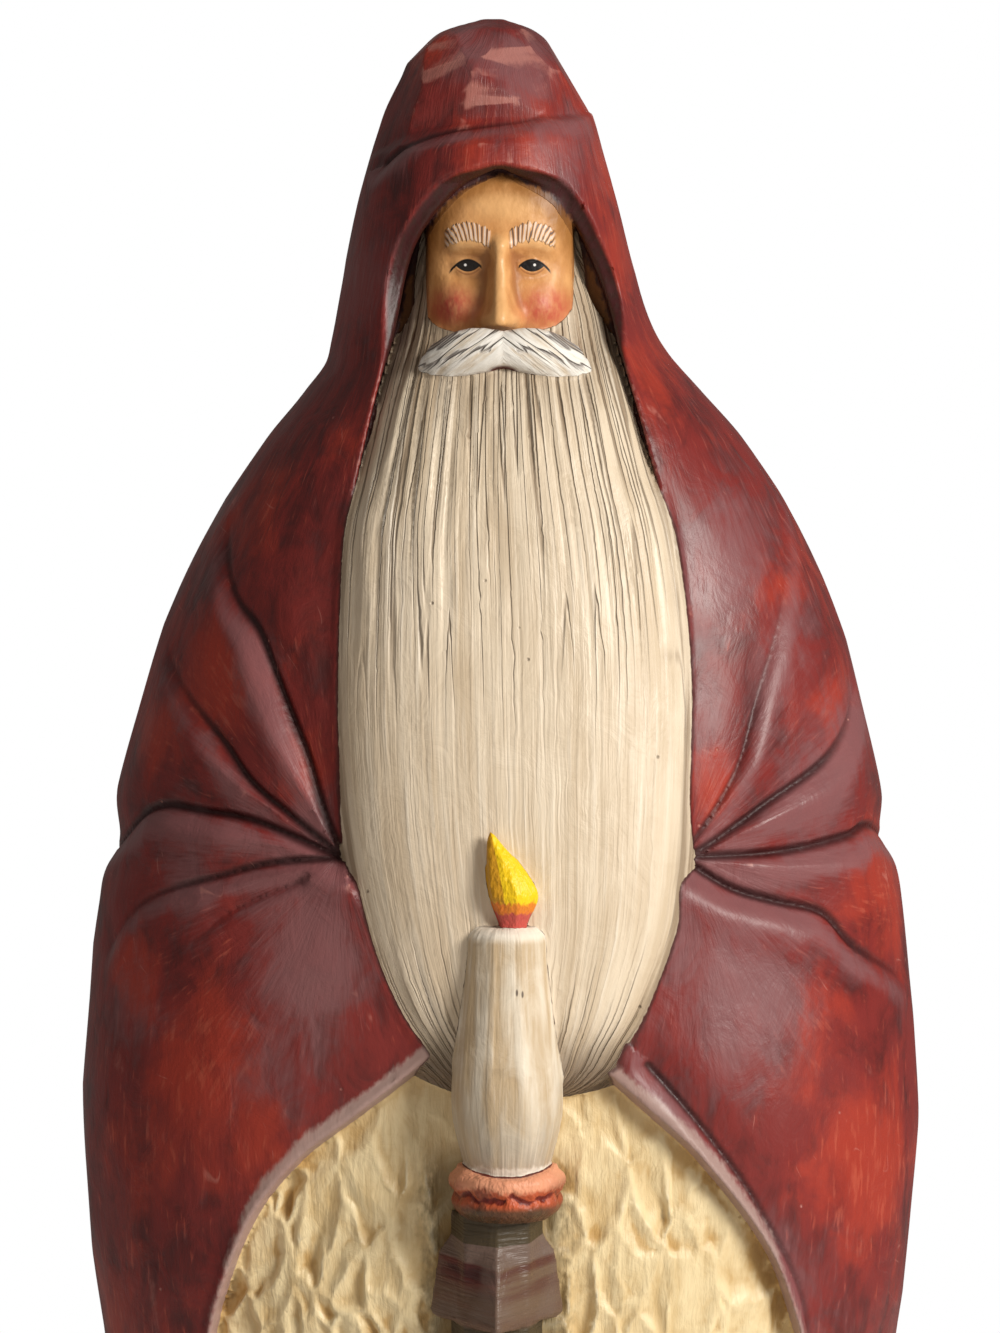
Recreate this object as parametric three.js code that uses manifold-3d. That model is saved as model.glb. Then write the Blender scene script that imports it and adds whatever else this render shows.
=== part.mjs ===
// A carved and painted wooden figurine: a hooded winter gift bringer with a long beard,
// a cloak gathered at both elbows, a gouged robe and a candle on a stacked candlestick.
// It is carved from one block, so it is one solid. Millimetres, +Z up, the front faces -Y,
// and the origin is on the table under the middle of the base.
import * as THREE from 'three';
import { ParametricGeometry } from 'three/addons/geometries/ParametricGeometry.js';
import { mergeVertices } from 'three/addons/utils/BufferGeometryUtils.js';
import Module from 'manifold-3d';

// The cloak and hood as one block: pairs of a height above the table and a size there.
const HEIGHT = 230;
const CLOAK_FOOT = 4;
const HALF_WIDTH = [
  [4, 46.5], [20, 48], [40, 50.2], [58, 51.9], [75, 53.9], [89, 54.7], [105, 53.7], [117, 52.3],
  [124, 50.4], [130, 50], [140, 47.7], [152, 44], [164, 38.7], [176, 31.3], [183, 25.1],
  [187, 22.1], [195, 19.5], [207, 16.9], [217, 13.8], [222, 11.4], [226.4, 8.7], [228.6, 5.6],
  [HEIGHT, 1.2],
];
const FRONT_DEPTH = [
  [4, 33], [20, 34], [40, 35.5], [60, 36.5], [90, 37], [117, 35.5], [130, 34], [150, 31],
  [164, 28.5], [176, 26], [187, 24], [195, 22.5], [207, 20.5], [214, 18.5], [217, 15.6],
  [219, 13.6], [222, 12.6], [226.4, 9.5], [228.6, 6], [HEIGHT, 1.2],
];
const BACK_DEPTH = [
  [4, 36], [40, 39], [90, 40], [117, 39], [140, 35.5], [160, 31], [176, 26.5], [190, 22.5],
  [207, 18.5], [217, 14.5], [222, 12], [226.4, 9], [228.6, 5.6], [HEIGHT, 1.2],
];
const SIDE_SHIFT = [
  [4, 0], [120, 0], [152, 0.2], [179, 0.6], [185, 0.2], [189, -0.7], [195, -1.3], [206, -1.55],
  [222, -1.6], [226.4, -1.9], [HEIGHT, -0.9],
];
const SECTION_POWER = 2.25;

// The hood's opening runs on as the edge of the beard: height, then where its side is.
const OPENING_LEFT = [
  [93.2, 0.5], [94.6, -3.5], [98, -6.6], [101, -9], [105, -11.9], [110, -14.4], [115, -16.2],
  [122, -18], [128, -19.1], [135, -19.9], [145, -20.4], [157, -20.1], [166, -19.5], [173, -17.9],
  [182, -15.8], [190, -13.5], [199.5, -11.4], [204.6, -8.8], [209, -4.6], [211, -0.6],
];
const OPENING_RIGHT = [
  [93.2, 2.5], [95.2, 9], [98, 12.6], [101.6, 15], [105, 17.2], [110, 19.4], [116, 21.5],
  [122, 22.5], [129, 23.1], [137, 23.5], [145, 23.7], [152, 23.4], [160, 22.6], [167, 21.4],
  [173, 19.5], [181, 17.3], [188, 15.2], [193, 14], [199.5, 11.6], [207, 7.4], [209.6, 3.4],
  [211, 0.4],
];
const OPENING_FLOOR = [[93, -20], [180, -12], [195, -9], [211, -10]];

// The beard fills that opening: height, then how far forward its middle stands.
const BEARD_FRONT = [
  [93.6, 32.5], [95.5, 35.6], [99, 37.6], [106, 39], [117, 39.2], [130, 38.2], [145, 36.2],
  [158, 33.8], [170, 30.6], [180, 26.8], [185, 23.6], [189, 18.4], [193, 15.6], [197, 14],
];
const BEARD_THICKNESS = 12;
const BEARD_POWER = 2.4;
const BEARD_SEAM = 0.35;

// Flutes combed into the beard: across from -1 to 1, then the heights where one starts and ends.
const BEARD_FLUTES = [
  [-0.72, 182, 150], [-0.5, 183, 160], [-0.3, 183, 147], [-0.12, 183, 158], [0.06, 183, 146],
  [0.24, 183, 160], [0.4, 183, 149], [0.6, 182, 156], [0.78, 179, 150], [-0.8, 114, 98],
  [0.82, 114, 98],
];
const FLUTE = { halfWidth: 0.55, depth: 0.7 };

// The head in the hood: a face on plain proportions, hair behind it, and the moustache.
const FACE = { middle: 0, top: 212, chin: 186, halfWidth: 9.2, front: 17.2, side: 12 };
const THIRD = 10;
const NOSE = { base: 191, bridge: 1, wings: 2, rise: 1.1, tip: 4.4 };
const HAIR = { bottom: 178, top: 212, halfWidth: 14.2, crown: 9, front: 14.6, back: 4 };
const MOUSTACHE = {
  left: [[0.3, 188.4], [-3, 188.2], [-6, 187.2], [-9.2, 185.6]],
  right: [[0.5, 188.4], [3.8, 188.2], [7.2, 187.1], [10.5, 185.3]],
  height: 2.7,
  thickness: 2,
  forward: 23,
  tipForward: 19.6,
};

// The robe shows in an arch between the cloak's edges and lies this far behind them.
const ROBE_INSET = 3;
const ROBE_LEFT = [
  [3, -37.5], [30, -38.5], [48, -38.5], [58, -37.6], [67.4, -36], [79.4, -31.4], [87.4, -25.1],
  [93, -18], [98.5, -11], [103, -6],
];
const ROBE_RIGHT = [
  [3, 39.5], [30, 40.5], [48, 40.5], [56, 39.9], [64.5, 38], [75.3, 34], [87.4, 25.1],
  [93, 19.2], [98, 13.7], [103, 8],
];
const ROBE_FLOOR = 14;
const CLOAK_EDGE_SLANT = 0.35;
const ROBE_TOP = 106;
const SCOOP = {
  rows: 6, columns: 3, lowest: 14, pitch: 13.6, depth: 1.4, jitter: 5,
  start: 13, apart: 11.5, wander: 3, archFrom: 60, archHeight: 42,
};
const SCOOP_RADII = new THREE.Vector3(4.9, 2.8, 8.6);

// Folds gathered at both elbows: degrees round the figure from its front, then the height.
const FOLDS = [
  { width: 1.9, depth: 2.6, path: [[-21, 125], [-25, 132], [-30, 140], [-42, 152], [-53, 157], [-68, 165]] },
  { width: 1.9, depth: 2.6, path: [[-21, 125], [-30, 130], [-38, 134], [-48, 140], [-69, 148]] },
  { width: 2, depth: 2.8, path: [[-21, 125], [-36, 129], [-48, 130], [-62, 130], [-79, 125], [-112, 118]] },
  { width: 1.5, depth: 1.8, path: [[-21, 125], [-33, 124], [-43, 122], [-60, 118], [-72, 111]] },
  { width: 0.9, depth: 0.9, path: [[-27, 122], [-38, 118], [-46, 113]] },
  { width: 1.3, depth: 1.4, path: [[25, 125], [28, 128], [36, 136], [44, 146], [58, 157], [76, 168]] },
  { width: 2, depth: 2.6, path: [[25, 125], [29, 126], [42, 131.5], [61, 137], [77, 143]] },
  { width: 2, depth: 2.6, path: [[25, 125], [43, 125], [63, 126], [76, 126.5], [112, 120]] },
  { width: 2.1, depth: 3, path: [[25, 125], [33, 121], [41, 119], [51, 117], [59, 112], [76, 107]] },
  { width: 1.4, depth: 1.5, path: [[17.7, 99], [27.6, 88.5], [36, 79], [47, 64], [52, 40], [53, 18]] },
  { width: 1.8, depth: 1.6, path: [[-62, 212], [-35, 216], [-3, 217.6], [27, 218], [60, 218.6]] },
  { width: 2.2, depth: 1.6, path: [[-140, 208], [-150, 170], [-152, 120], [-150, 60], [-149, 20]] },
  { width: 2.2, depth: 1.6, path: [[180, 196], [178, 150], [181, 90], [180, 24]] },
  { width: 2.2, depth: 1.6, path: [[141, 206], [148, 160], [152, 110], [150, 60], [148, 20]] },
];

// A cut's lips stand off the skin by the lift, and it thins out to this share at its end.
const GROOVE = { lift: 0.6, thinnest: 0.25, extra: 0.2, steps: 6 };

// Flat knife cuts on the cap of the hood: degrees from the front, height, depth and tilt.
const KNIFE_CUTS = [
  [20, 223.2, 0.7, 8], [-32, 224, 0.6, 6], [80, 222.4, 0.4, 0], [-84, 221.4, 0.4, 0],
  [130, 222.6, 0.5, 0], [178, 222, 0.5, 0], [-135, 222.4, 0.5, 0],
];
const CUT_SIZE = 11;

// The candle and the stacked candlestick: height, then radius. The flame's rings have the
// height, the sideways place of the middle and the radius.
const CANDLE_AXIS = new THREE.Vector2(0.9, -37.2);
const CANDLE = [[85, 4.6], [87, 5.4], [94, 6.9], [104, 6.3], [113, 5.4], [115.8, 5.2], [117, 4.2]];
const CANDLE_SIDES = 10;
const FLAME = {
  rings: [
    [116, 1.6, 1.1], [118.2, 1.7, 2.1], [121.2, 1.7, 3.3], [124.5, 0.6, 2.4], [127.2, -0.6, 1.1],
    [129, -1.2, 0.15],
  ],
  sides: 6,
  forward: 39.6,
  flatness: 0.8,
};
const CUP = [[80, 5.2], [81.2, 6.6], [83, 7.2], [85.4, 7.4], [86.4, 6.4]];
const STAND_AXIS = new THREE.Vector2(-0.4, -34.4);
const STAND_TOP = 80.4;
const BLOCK = { count: 5, height: 10.6, pitch: 14.2, top: 77.6, halfTop: 7.4, halfFoot: 8.5 };
const NECK_RADIUS = 5.8;
const CHAMFER = 1.5;

// The low base, carved from the same block.
const BASE = { height: 5.5, bevel: 1, halfWidth: 48.5, front: 44, back: 40, sides: 24, roundness: 0.8 };

// The sizes above are from the middle of the hood. This brings the middle of the whole depth,
// candle and base counted, over the origin.
const DEPTH_SHIFT = 2.3;

const wasm = await Module();
wasm.setup();

// A smooth curve through pairs of a position and a value, read at any position.
function curveThrough(knots) {
  const last = knots.length - 1;
  const slopes = knots.map((knot, i) => {
    const before = knots[Math.max(i - 1, 0)];
    const after = knots[Math.min(i + 1, last)];
    return (after[1] - before[1]) / (after[0] - before[0]);
  });
  return (position) => {
    const at = Math.min(Math.max(position, knots[0][0]), knots[last][0]);
    let i = 0;
    while (i < last - 1 && at > knots[i + 1][0]) i += 1;
    const span = knots[i + 1][0] - knots[i][0];
    const s = (at - knots[i][0]) / span;
    const rise = knots[i + 1][1] - knots[i][1];
    const blend = s * s * (3 - 2 * s);
    const bend = s * (1 - s) * ((1 - s) * slopes[i] - s * slopes[i + 1]) * span;
    return knots[i][1] + rise * blend + bend;
  };
}

// A signed power, for the rounded-square sections.
function bend(value, power) {
  return Math.sign(value) * Math.abs(value) ** power;
}

// Evenly spaced numbers, both ends among them.
function steps(from, to, count) {
  return Array.from({ length: count + 1 }, (_, i) => from + ((to - from) * i) / count);
}

// Any closed geometry as a solid with its faces pointing out.
function solidOf(geometry) {
  const bare = geometry.clone();
  bare.deleteAttribute('normal');
  bare.deleteAttribute('uv');
  const merged = mergeVertices(bare, 1e-4);
  const points = merged.attributes.position.array;
  const corners = [];
  for (let i = 0; i < merged.index.count; i += 3) {
    const [a, b, c] = merged.index.array.slice(i, i + 3);
    if (a !== b && b !== c && a !== c) corners.push(a, b, c);
  }
  const at = (i) => new THREE.Vector3().fromArray(points, 3 * i);
  let volume = 0;
  for (let i = 0; i < corners.length; i += 3) {
    volume += at(corners[i]).dot(at(corners[i + 1]).cross(at(corners[i + 2])));
  }
  if (volume < 0) corners.reverse();
  const mesh = new wasm.Mesh({
    numProp: 3,
    vertProperties: new Float32Array(points),
    triVerts: new Uint32Array(corners),
  });
  return new wasm.Manifold(mesh);
}

// A solid through a list of rings. place(ring, turn) gives a point of one ring, where turn
// goes once round from 0 to 1, and each end is closed by a fan from its middle.
function loft(rings, sides, place) {
  const rows = rings.length + 1;
  const middles = [0, rings.length - 1].map((i) => {
    const sum = new THREE.Vector3();
    for (let j = 0; j < sides; j += 1) sum.add(place(rings[i], j / sides));
    return sum.divideScalar(sides);
  });
  const surface = (u, v, target) => {
    const row = Math.round(v * rows);
    const turn = (Math.round(u * sides) % sides) / sides;
    if (row <= 0) target.copy(middles[0]);
    else if (row >= rows) target.copy(middles[1]);
    else target.copy(place(rings[row - 1], turn));
  };
  return solidOf(new ParametricGeometry(surface, sides, rows));
}

const halfWidthAt = curveThrough(HALF_WIDTH);
const frontDepthAt = curveThrough(FRONT_DEPTH);
const backDepthAt = curveThrough(BACK_DEPTH);
const sideShiftAt = curveThrough(SIDE_SHIFT);

// A point of the cloak's skin, so many radians round from the front, sunk in by inset.
function cloakPoint(angle, z, inset = 0) {
  const across = bend(Math.sin(angle), 2 / SECTION_POWER);
  const out = bend(Math.cos(angle), 2 / SECTION_POWER);
  const depth = out > 0 ? frontDepthAt(z) : backDepthAt(z);
  return new THREE.Vector3(
    sideShiftAt(z) + (halfWidthAt(z) - inset) * across,
    -(depth - inset) * out,
    z,
  );
}

const openingLeftAt = curveThrough(OPENING_LEFT);
const openingRightAt = curveThrough(OPENING_RIGHT);
const openingFloorAt = curveThrough(OPENING_FLOOR);
const beardFrontAt = curveThrough(BEARD_FRONT);

// A point of the beard's skin, in the same way.
function beardPoint(angle, z) {
  const left = openingLeftAt(z) + BEARD_SEAM;
  const right = openingRightAt(z) - BEARD_SEAM;
  const across = bend(Math.sin(angle), 2 / BEARD_POWER);
  const out = bend(Math.cos(angle), 2 / BEARD_POWER);
  return new THREE.Vector3(
    (left + right) / 2 + ((right - left) / 2) * across,
    -(beardFrontAt(z) - BEARD_THICKNESS) - BEARD_THICKNESS * out,
    z,
  );
}

// The outward direction of a skin at a place on it.
function outwardOf(skin, angle, z) {
  const step = 0.02;
  const round = skin(angle + step, z).sub(skin(angle - step, z));
  const rise = skin(angle, z + 1).sub(skin(angle, z - 1));
  return round.cross(rise).normalize();
}

// A V-shaped cut that follows a path of angles and heights on a skin and runs out at its end.
function grooveCut(skin, path, halfWidth, depth, count) {
  const route = new THREE.SplineCurve(path.map(([angle, z]) => new THREE.Vector2(angle, z)));
  const stations = steps(0, 1, count).map((share) => {
    const spot = route.getPoint(share);
    const next = route.getPoint(Math.min(share + 0.01, 1));
    const last = route.getPoint(Math.max(share - 0.01, 0));
    const point = skin(spot.x, spot.y);
    const out = outwardOf(skin, spot.x, spot.y);
    const along = skin(next.x, next.y).sub(skin(last.x, last.y)).normalize();
    const fade = THREE.MathUtils.lerp(GROOVE.thinnest, 1, Math.cos((Math.PI / 2) * share));
    return { point, out, aside: along.cross(out).normalize(), fade };
  });
  return loft(stations, 3, ({ point, out, aside, fade }, turn) => {
    const corner = Math.round(turn * 3);
    const side = [-1, 0, 1][corner];
    const sink = corner === 1 ? -depth * fade : GROOVE.lift;
    const spread = side * halfWidth * (fade + GROOVE.extra);
    return point.clone().addScaledVector(aside, spread).addScaledVector(out, sink);
  });
}

// The cloak and hood as one block, closed at its top.
function cloakBlock() {
  const levels = [
    ...steps(CLOAK_FOOT, 84, 5), ...steps(94, 124, 3), ...steps(131, 184, 7), ...steps(188, 211, 4),
    214, 216.2, 217.8, 219.6, 222, 225, 227.6, 229.2, HEIGHT,
  ];
  return loft(levels, 36, (z, turn) => cloakPoint(2 * Math.PI * turn, z));
}

// A cutter that opens the front between two side curves on the skin, down to a floor inside
// the block. Its walls lean apart towards the front by the slant.
function frontOpening(levels, leftAt, rightAt, floorAt, slant = 0) {
  const proud = -60;
  return loft(levels, 4, (z, turn) => {
    const corner = Math.round(turn * 4);
    const side = corner === 0 || corner === 3 ? -1 : 1;
    const edge = side < 0 ? leftAt(z) : rightAt(z);
    const y = corner < 2 ? proud : floorAt(z);
    const share = Math.min(1, Math.abs((edge - sideShiftAt(z)) / halfWidthAt(z)));
    const skin = frontDepthAt(z) * (1 - share ** SECTION_POWER) ** (1 / SECTION_POWER);
    return new THREE.Vector3(edge + side * slant * (-y - skin), y, z);
  });
}

function beardOpening() {
  return frontOpening(
    [93.2, 94.4, 96, 98.5, ...steps(102, 206, 22), 208.4, 210, 211],
    openingLeftAt,
    openingRightAt,
    openingFloorAt,
  );
}

function robeOpening() {
  return frontOpening(
    [...steps(CLOAK_FOOT - 2, 58, 5), ...steps(64, 103, 9)],
    curveThrough(ROBE_LEFT),
    curveThrough(ROBE_RIGHT),
    () => -ROBE_FLOOR,
    CLOAK_EDGE_SLANT,
  );
}

// The beard, with its combed flutes cut in.
function beard() {
  const levels = [93.6, 94.4, 95.8, 98, 101, 105, ...steps(111, 176, 6), 181, 185, 189, 193, 197];
  let body = loft(levels, 26, (z, turn) => beardPoint(2 * Math.PI * turn, z));
  for (const [across, from, to] of BEARD_FLUTES) {
    const angle = Math.asin(bend(across, BEARD_POWER / 2));
    const path = steps(0, 1, 3).map((share) => [
      angle * (0.62 + 0.38 * share), from + (to - from) * share,
    ]);
    body = body.subtract(grooveCut(beardPoint, path, FLUTE.halfWidth, FLUTE.depth, 3));
  }
  return body;
}

// Hair behind and beside the face, filling the hood.
function hair() {
  return loft(steps(HAIR.bottom, HAIR.top, 5), 16, (z, turn) => {
    const angle = 2 * Math.PI * turn;
    const depth = Math.cos(angle) > 0 ? HAIR.front : HAIR.back;
    const share = (z - HAIR.bottom) / (HAIR.top - HAIR.bottom);
    const half = HAIR.halfWidth + (HAIR.crown - HAIR.halfWidth) * share ** 4;
    return new THREE.Vector3(half * Math.sin(angle), -depth * Math.cos(angle), z);
  });
}

// The face: a flat-cheeked wedge, with brow, eye hollows and a straight nose.
function face() {
  const brow = NOSE.base + THIRD;
  const forward = curveThrough([
    [FACE.chin, 0.4], [NOSE.base, 0.7], [NOSE.base + 4, 0.8], [brow - 2.4, 0], [brow, 0.9],
    [brow + 4, 1], [FACE.top, -0.4],
  ]);
  const head = loft(steps(FACE.chin, FACE.top, 10), 14, (z, turn) => {
    const angle = 2 * Math.PI * turn;
    const across = bend(Math.sin(angle), 0.9);
    const y = FACE.side + (FACE.front - FACE.side + forward(z)) * Math.cos(angle);
    return new THREE.Vector3(FACE.middle + FACE.halfWidth * across, -y, z);
  });
  const nose = loft(steps(0, 1, 4), 5, (share, turn) => {
    const angle = 2 * Math.PI * turn;
    const half = NOSE.wings + (NOSE.bridge - NOSE.wings) * share ** 0.7;
    const rise = NOSE.tip + (NOSE.rise - NOSE.tip) * share;
    const y = FACE.front - 1.4 + (rise + 1.4) * Math.max(Math.cos(angle), -0.3);
    return new THREE.Vector3(FACE.middle + half * Math.sin(angle), -y, NOSE.base + THIRD * share);
  });
  return head.add(nose);
}

// One side of the moustache, from the middle out to its tip.
function moustacheSide(spots, sense) {
  const route = new THREE.SplineCurve(spots.map(([x, z]) => new THREE.Vector2(x, z)));
  return loft(steps(0, 1, 6), 8, (share, turn) => {
    const spot = route.getPoint(share);
    const angle = 2 * Math.PI * turn;
    const full = 0.55 + 0.6 * Math.sin(Math.PI * Math.min(1, 0.15 + share * 0.62));
    const size = full * (share > 0.9 ? 0.55 : 1);
    const forward = MOUSTACHE.forward + (MOUSTACHE.tipForward - MOUSTACHE.forward) * share * share;
    return new THREE.Vector3(
      spot.x - sense * 0.3,
      -forward - MOUSTACHE.thickness * size * Math.cos(angle),
      spot.y + MOUSTACHE.height * size * Math.sin(angle),
    );
  });
}

// Degrees round the robe and the height of each scoop, in staggered rows that close in under
// the arch of the cloak.
function scoopPlaces() {
  const places = [];
  for (let row = 0; row < SCOOP.rows; row += 1) {
    const z = SCOOP.lowest + SCOOP.pitch * row;
    const rise = Math.min(0.95, Math.max(0, (z - SCOOP.archFrom) / SCOOP.archHeight));
    const narrow = Math.sqrt(1 - rise * rise);
    for (let column = 0; column < SCOOP.columns; column += 1) {
      const apart = SCOOP.apart * column + SCOOP.wander * Math.sin(4 * row + column);
      for (const side of [-1, 1]) {
        const jitter = SCOOP.jitter * Math.sin(2.3 * row + 1.7 * column + side);
        places.push([side * (SCOOP.start + apart * narrow), z + jitter]);
      }
    }
  }
  return places;
}

// The robe behind the cloak's edges, hollowed by long scoops of a gouge.
function robe() {
  const skin = (angle, z) => cloakPoint(angle, z, ROBE_INSET);
  const scoop = new THREE.SphereGeometry(1, 6, 4);
  let body = loft(steps(CLOAK_FOOT, ROBE_TOP, 7), 30, (z, turn) => skin(2 * Math.PI * turn, z));
  for (const [degrees, z] of scoopPlaces()) {
    const angle = THREE.MathUtils.degToRad(degrees);
    const out = outwardOf(skin, angle, z);
    const point = skin(angle, z).addScaledVector(out, SCOOP_RADII.y - SCOOP.depth);
    const turn = new THREE.Quaternion().setFromUnitVectors(new THREE.Vector3(0, -1, 0), out);
    const place = new THREE.Matrix4().compose(point, turn, SCOOP_RADII);
    body = body.subtract(solidOf(scoop.clone().applyMatrix4(place)));
  }
  return body;
}

// A turned form with flat sides about an upright axis: pairs of a height and a radius.
function turned(profile, sides, axis, phase = 0) {
  return loft(profile, sides, ([z, radius], turn) => {
    const angle = 2 * Math.PI * turn + phase;
    return new THREE.Vector3(axis.x + radius * Math.sin(angle), axis.y - radius * Math.cos(angle), z);
  });
}

function flame() {
  return loft(FLAME.rings, FLAME.sides, ([z, x, radius], turn) => {
    const angle = 2 * Math.PI * turn;
    const forward = FLAME.forward + FLAME.flatness * radius * Math.cos(angle);
    return new THREE.Vector3(x + radius * Math.sin(angle), -forward, z);
  });
}

// The candlestick: a round neck through square blocks that each turn a corner to the front.
function candlestick() {
  const neck = [[BASE.height - 1, NECK_RADIUS], [STAND_TOP, NECK_RADIUS]];
  let stack = turned(neck, 8, STAND_AXIS);
  for (let i = 0; i < BLOCK.count; i += 1) {
    const top = BLOCK.top - BLOCK.pitch * i;
    const foot = i === BLOCK.count - 1 ? BASE.height - 1 : top - BLOCK.height;
    const profile = [
      [foot, BLOCK.halfFoot - 0.6], [foot + 0.8, BLOCK.halfFoot], [top - CHAMFER, BLOCK.halfTop],
      [top, NECK_RADIUS],
    ];
    stack = stack.add(turned(profile, 4, STAND_AXIS));
  }
  return stack;
}

function base() {
  const { height, bevel, sides, roundness } = BASE;
  const rings = [[0, bevel / 2], [bevel / 2, 0], [height - bevel, 0], [height, bevel]];
  return loft(rings, sides, ([z, inset], turn) => {
    const angle = 2 * Math.PI * turn;
    const across = bend(Math.sin(angle), roundness);
    const out = bend(Math.cos(angle), roundness);
    const depth = out > 0 ? BASE.front : BASE.back;
    return new THREE.Vector3((BASE.halfWidth - inset) * across, -(depth - inset) * out, z);
  });
}

// A flat left by one cut of the knife: a block laid against the skin takes off its crown.
function knifeCut([degrees, z, depth, tilt]) {
  const angle = THREE.MathUtils.degToRad(degrees);
  const out = outwardOf(cloakPoint, angle, z);
  const aside = new THREE.Vector3(0, 0, 1).cross(out).normalize();
  out.applyAxisAngle(aside, THREE.MathUtils.degToRad(-tilt));
  const point = cloakPoint(angle, z).addScaledVector(out, CUT_SIZE / 2 - depth);
  const turn = new THREE.Quaternion().setFromUnitVectors(new THREE.Vector3(0, 0, 1), out);
  const place = new THREE.Matrix4().compose(point, turn, new THREE.Vector3(1, 1, 1));
  return solidOf(new THREE.BoxGeometry(CUT_SIZE, CUT_SIZE, CUT_SIZE).applyMatrix4(place));
}

function figurine() {
  let block = cloakBlock();
  for (const cut of KNIFE_CUTS) block = block.subtract(knifeCut(cut));
  for (const { width, depth, path } of FOLDS) {
    const route = path.map(([degrees, z]) => [THREE.MathUtils.degToRad(degrees), z]);
    block = block.subtract(grooveCut(cloakPoint, route, width, depth, GROOVE.steps));
  }
  const figure = block
    .subtract(beardOpening())
    .subtract(robeOpening())
    .add(robe())
    .add(hair())
    .add(face())
    .add(beard())
    .add(moustacheSide(MOUSTACHE.left, -1))
    .add(moustacheSide(MOUSTACHE.right, 1))
    .add(turned(CANDLE, CANDLE_SIDES, CANDLE_AXIS, Math.PI / CANDLE_SIDES))
    .add(flame())
    .add(turned(CUP, 12, CANDLE_AXIS))
    .add(candlestick())
    .add(base());
  // Crumbs left where cuts cross each other fall away.
  return figure.decompose().reduce((a, b) => (a.volume() > b.volume() ? a : b));
}

// The finished solid as a mesh in its paint.
function meshOf(solid, name, color) {
  const { vertProperties, triVerts } = solid.getMesh();
  const geometry = new THREE.BufferGeometry();
  geometry.setAttribute('position', new THREE.BufferAttribute(new Float32Array(vertProperties), 3));
  geometry.setIndex(new THREE.BufferAttribute(new Uint32Array(triVerts), 1));
  geometry.computeVertexNormals();
  const paint = new THREE.MeshStandardMaterial({ color, roughness: 0.45, metalness: 0 });
  const mesh = new THREE.Mesh(geometry, paint);
  mesh.name = name;
  return mesh;
}

const group = new THREE.Group();
const carving = meshOf(figurine(), 'santa_figurine', 0x7a2b28);
carving.position.y = DEPTH_SHIFT;
group.add(carving);

export default group;
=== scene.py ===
"""The carved and painted surface of a hooded winter gift bringer with a candle.

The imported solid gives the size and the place. This script carves the same form finely as a
field of distances, lays the cut relief on it, and paints it: a red cloak and hood, a pale
combed beard, a gouged cream robe, and a candle on a stacked candlestick. The carving is one
piece of wood, so it is one object. Sizes are millimetres unless a name says otherwise.
"""

import math

import bpy
import numpy as np
import openvdb
from bpy.props import FloatProperty, FloatVectorProperty, IntProperty, PointerProperty
from bpy.types import Operator, Panel, PropertyGroup
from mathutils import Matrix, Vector


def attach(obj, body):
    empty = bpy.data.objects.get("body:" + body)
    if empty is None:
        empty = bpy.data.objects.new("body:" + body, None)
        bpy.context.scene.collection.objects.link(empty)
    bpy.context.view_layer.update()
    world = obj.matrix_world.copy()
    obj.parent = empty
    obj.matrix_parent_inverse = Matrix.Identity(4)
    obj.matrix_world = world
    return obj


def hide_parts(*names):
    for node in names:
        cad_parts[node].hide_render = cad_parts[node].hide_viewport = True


bl_info = {
    "name": "Carved Gift Bringer",
    "version": (1, 0, 0),
    "blender": (4, 5, 0),
    "location": "3D View > Sidebar > Carving",
    "description": "Carves and paints a hooded winter figurine over its packed solid",
    "category": "Object",
}

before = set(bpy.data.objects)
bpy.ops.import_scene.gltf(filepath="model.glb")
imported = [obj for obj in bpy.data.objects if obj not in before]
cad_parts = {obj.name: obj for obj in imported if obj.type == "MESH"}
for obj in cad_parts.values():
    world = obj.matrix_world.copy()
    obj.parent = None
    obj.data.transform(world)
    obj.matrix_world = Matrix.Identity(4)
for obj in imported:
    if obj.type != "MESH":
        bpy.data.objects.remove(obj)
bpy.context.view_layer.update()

MM = 0.001
NODE = "santa_figurine"
BODY = "root"

# The cloak and hood: pairs of a height above the table and a size there.
HEIGHT = 230.0
CLOAK_FOOT = 4.0
HALF_WIDTH = [
    (4, 46.5), (20, 48), (40, 50.2), (58, 51.9), (75, 53.9), (89, 54.7), (105, 53.7),
    (117, 52.3), (124, 50.4), (130, 50), (140, 47.7), (152, 44), (164, 38.7), (176, 31.3),
    (183, 25.1), (187, 22.1), (195, 19.5), (207, 16.9), (217, 13.8), (222, 11.4), (226.4, 8.7),
    (228.6, 5.6), (230, 1.2),
]
FRONT_DEPTH = [
    (4, 33), (20, 34), (40, 35.5), (60, 36.5), (90, 37), (117, 35.5), (130, 34), (150, 31),
    (164, 28.5), (176, 26), (187, 24), (195, 22.5), (207, 20.5), (214, 18.5), (217, 15.6),
    (219, 13.6), (222, 12.6), (226.4, 9.5), (228.6, 6), (230, 1.2),
]
BACK_DEPTH = [
    (4, 36), (40, 39), (90, 40), (117, 39), (140, 35.5), (160, 31), (176, 26.5), (190, 22.5),
    (207, 18.5), (217, 14.5), (222, 12), (226.4, 9), (228.6, 5.6), (230, 1.2),
]
SIDE_SHIFT = [
    (4, 0), (120, 0), (152, 0.2), (179, 0.6), (185, 0.2), (189, -0.7), (195, -1.3), (206, -1.55),
    (222, -1.6), (226.4, -1.9), (230, -0.9),
]
SECTION_POWER = 2.25

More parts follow.
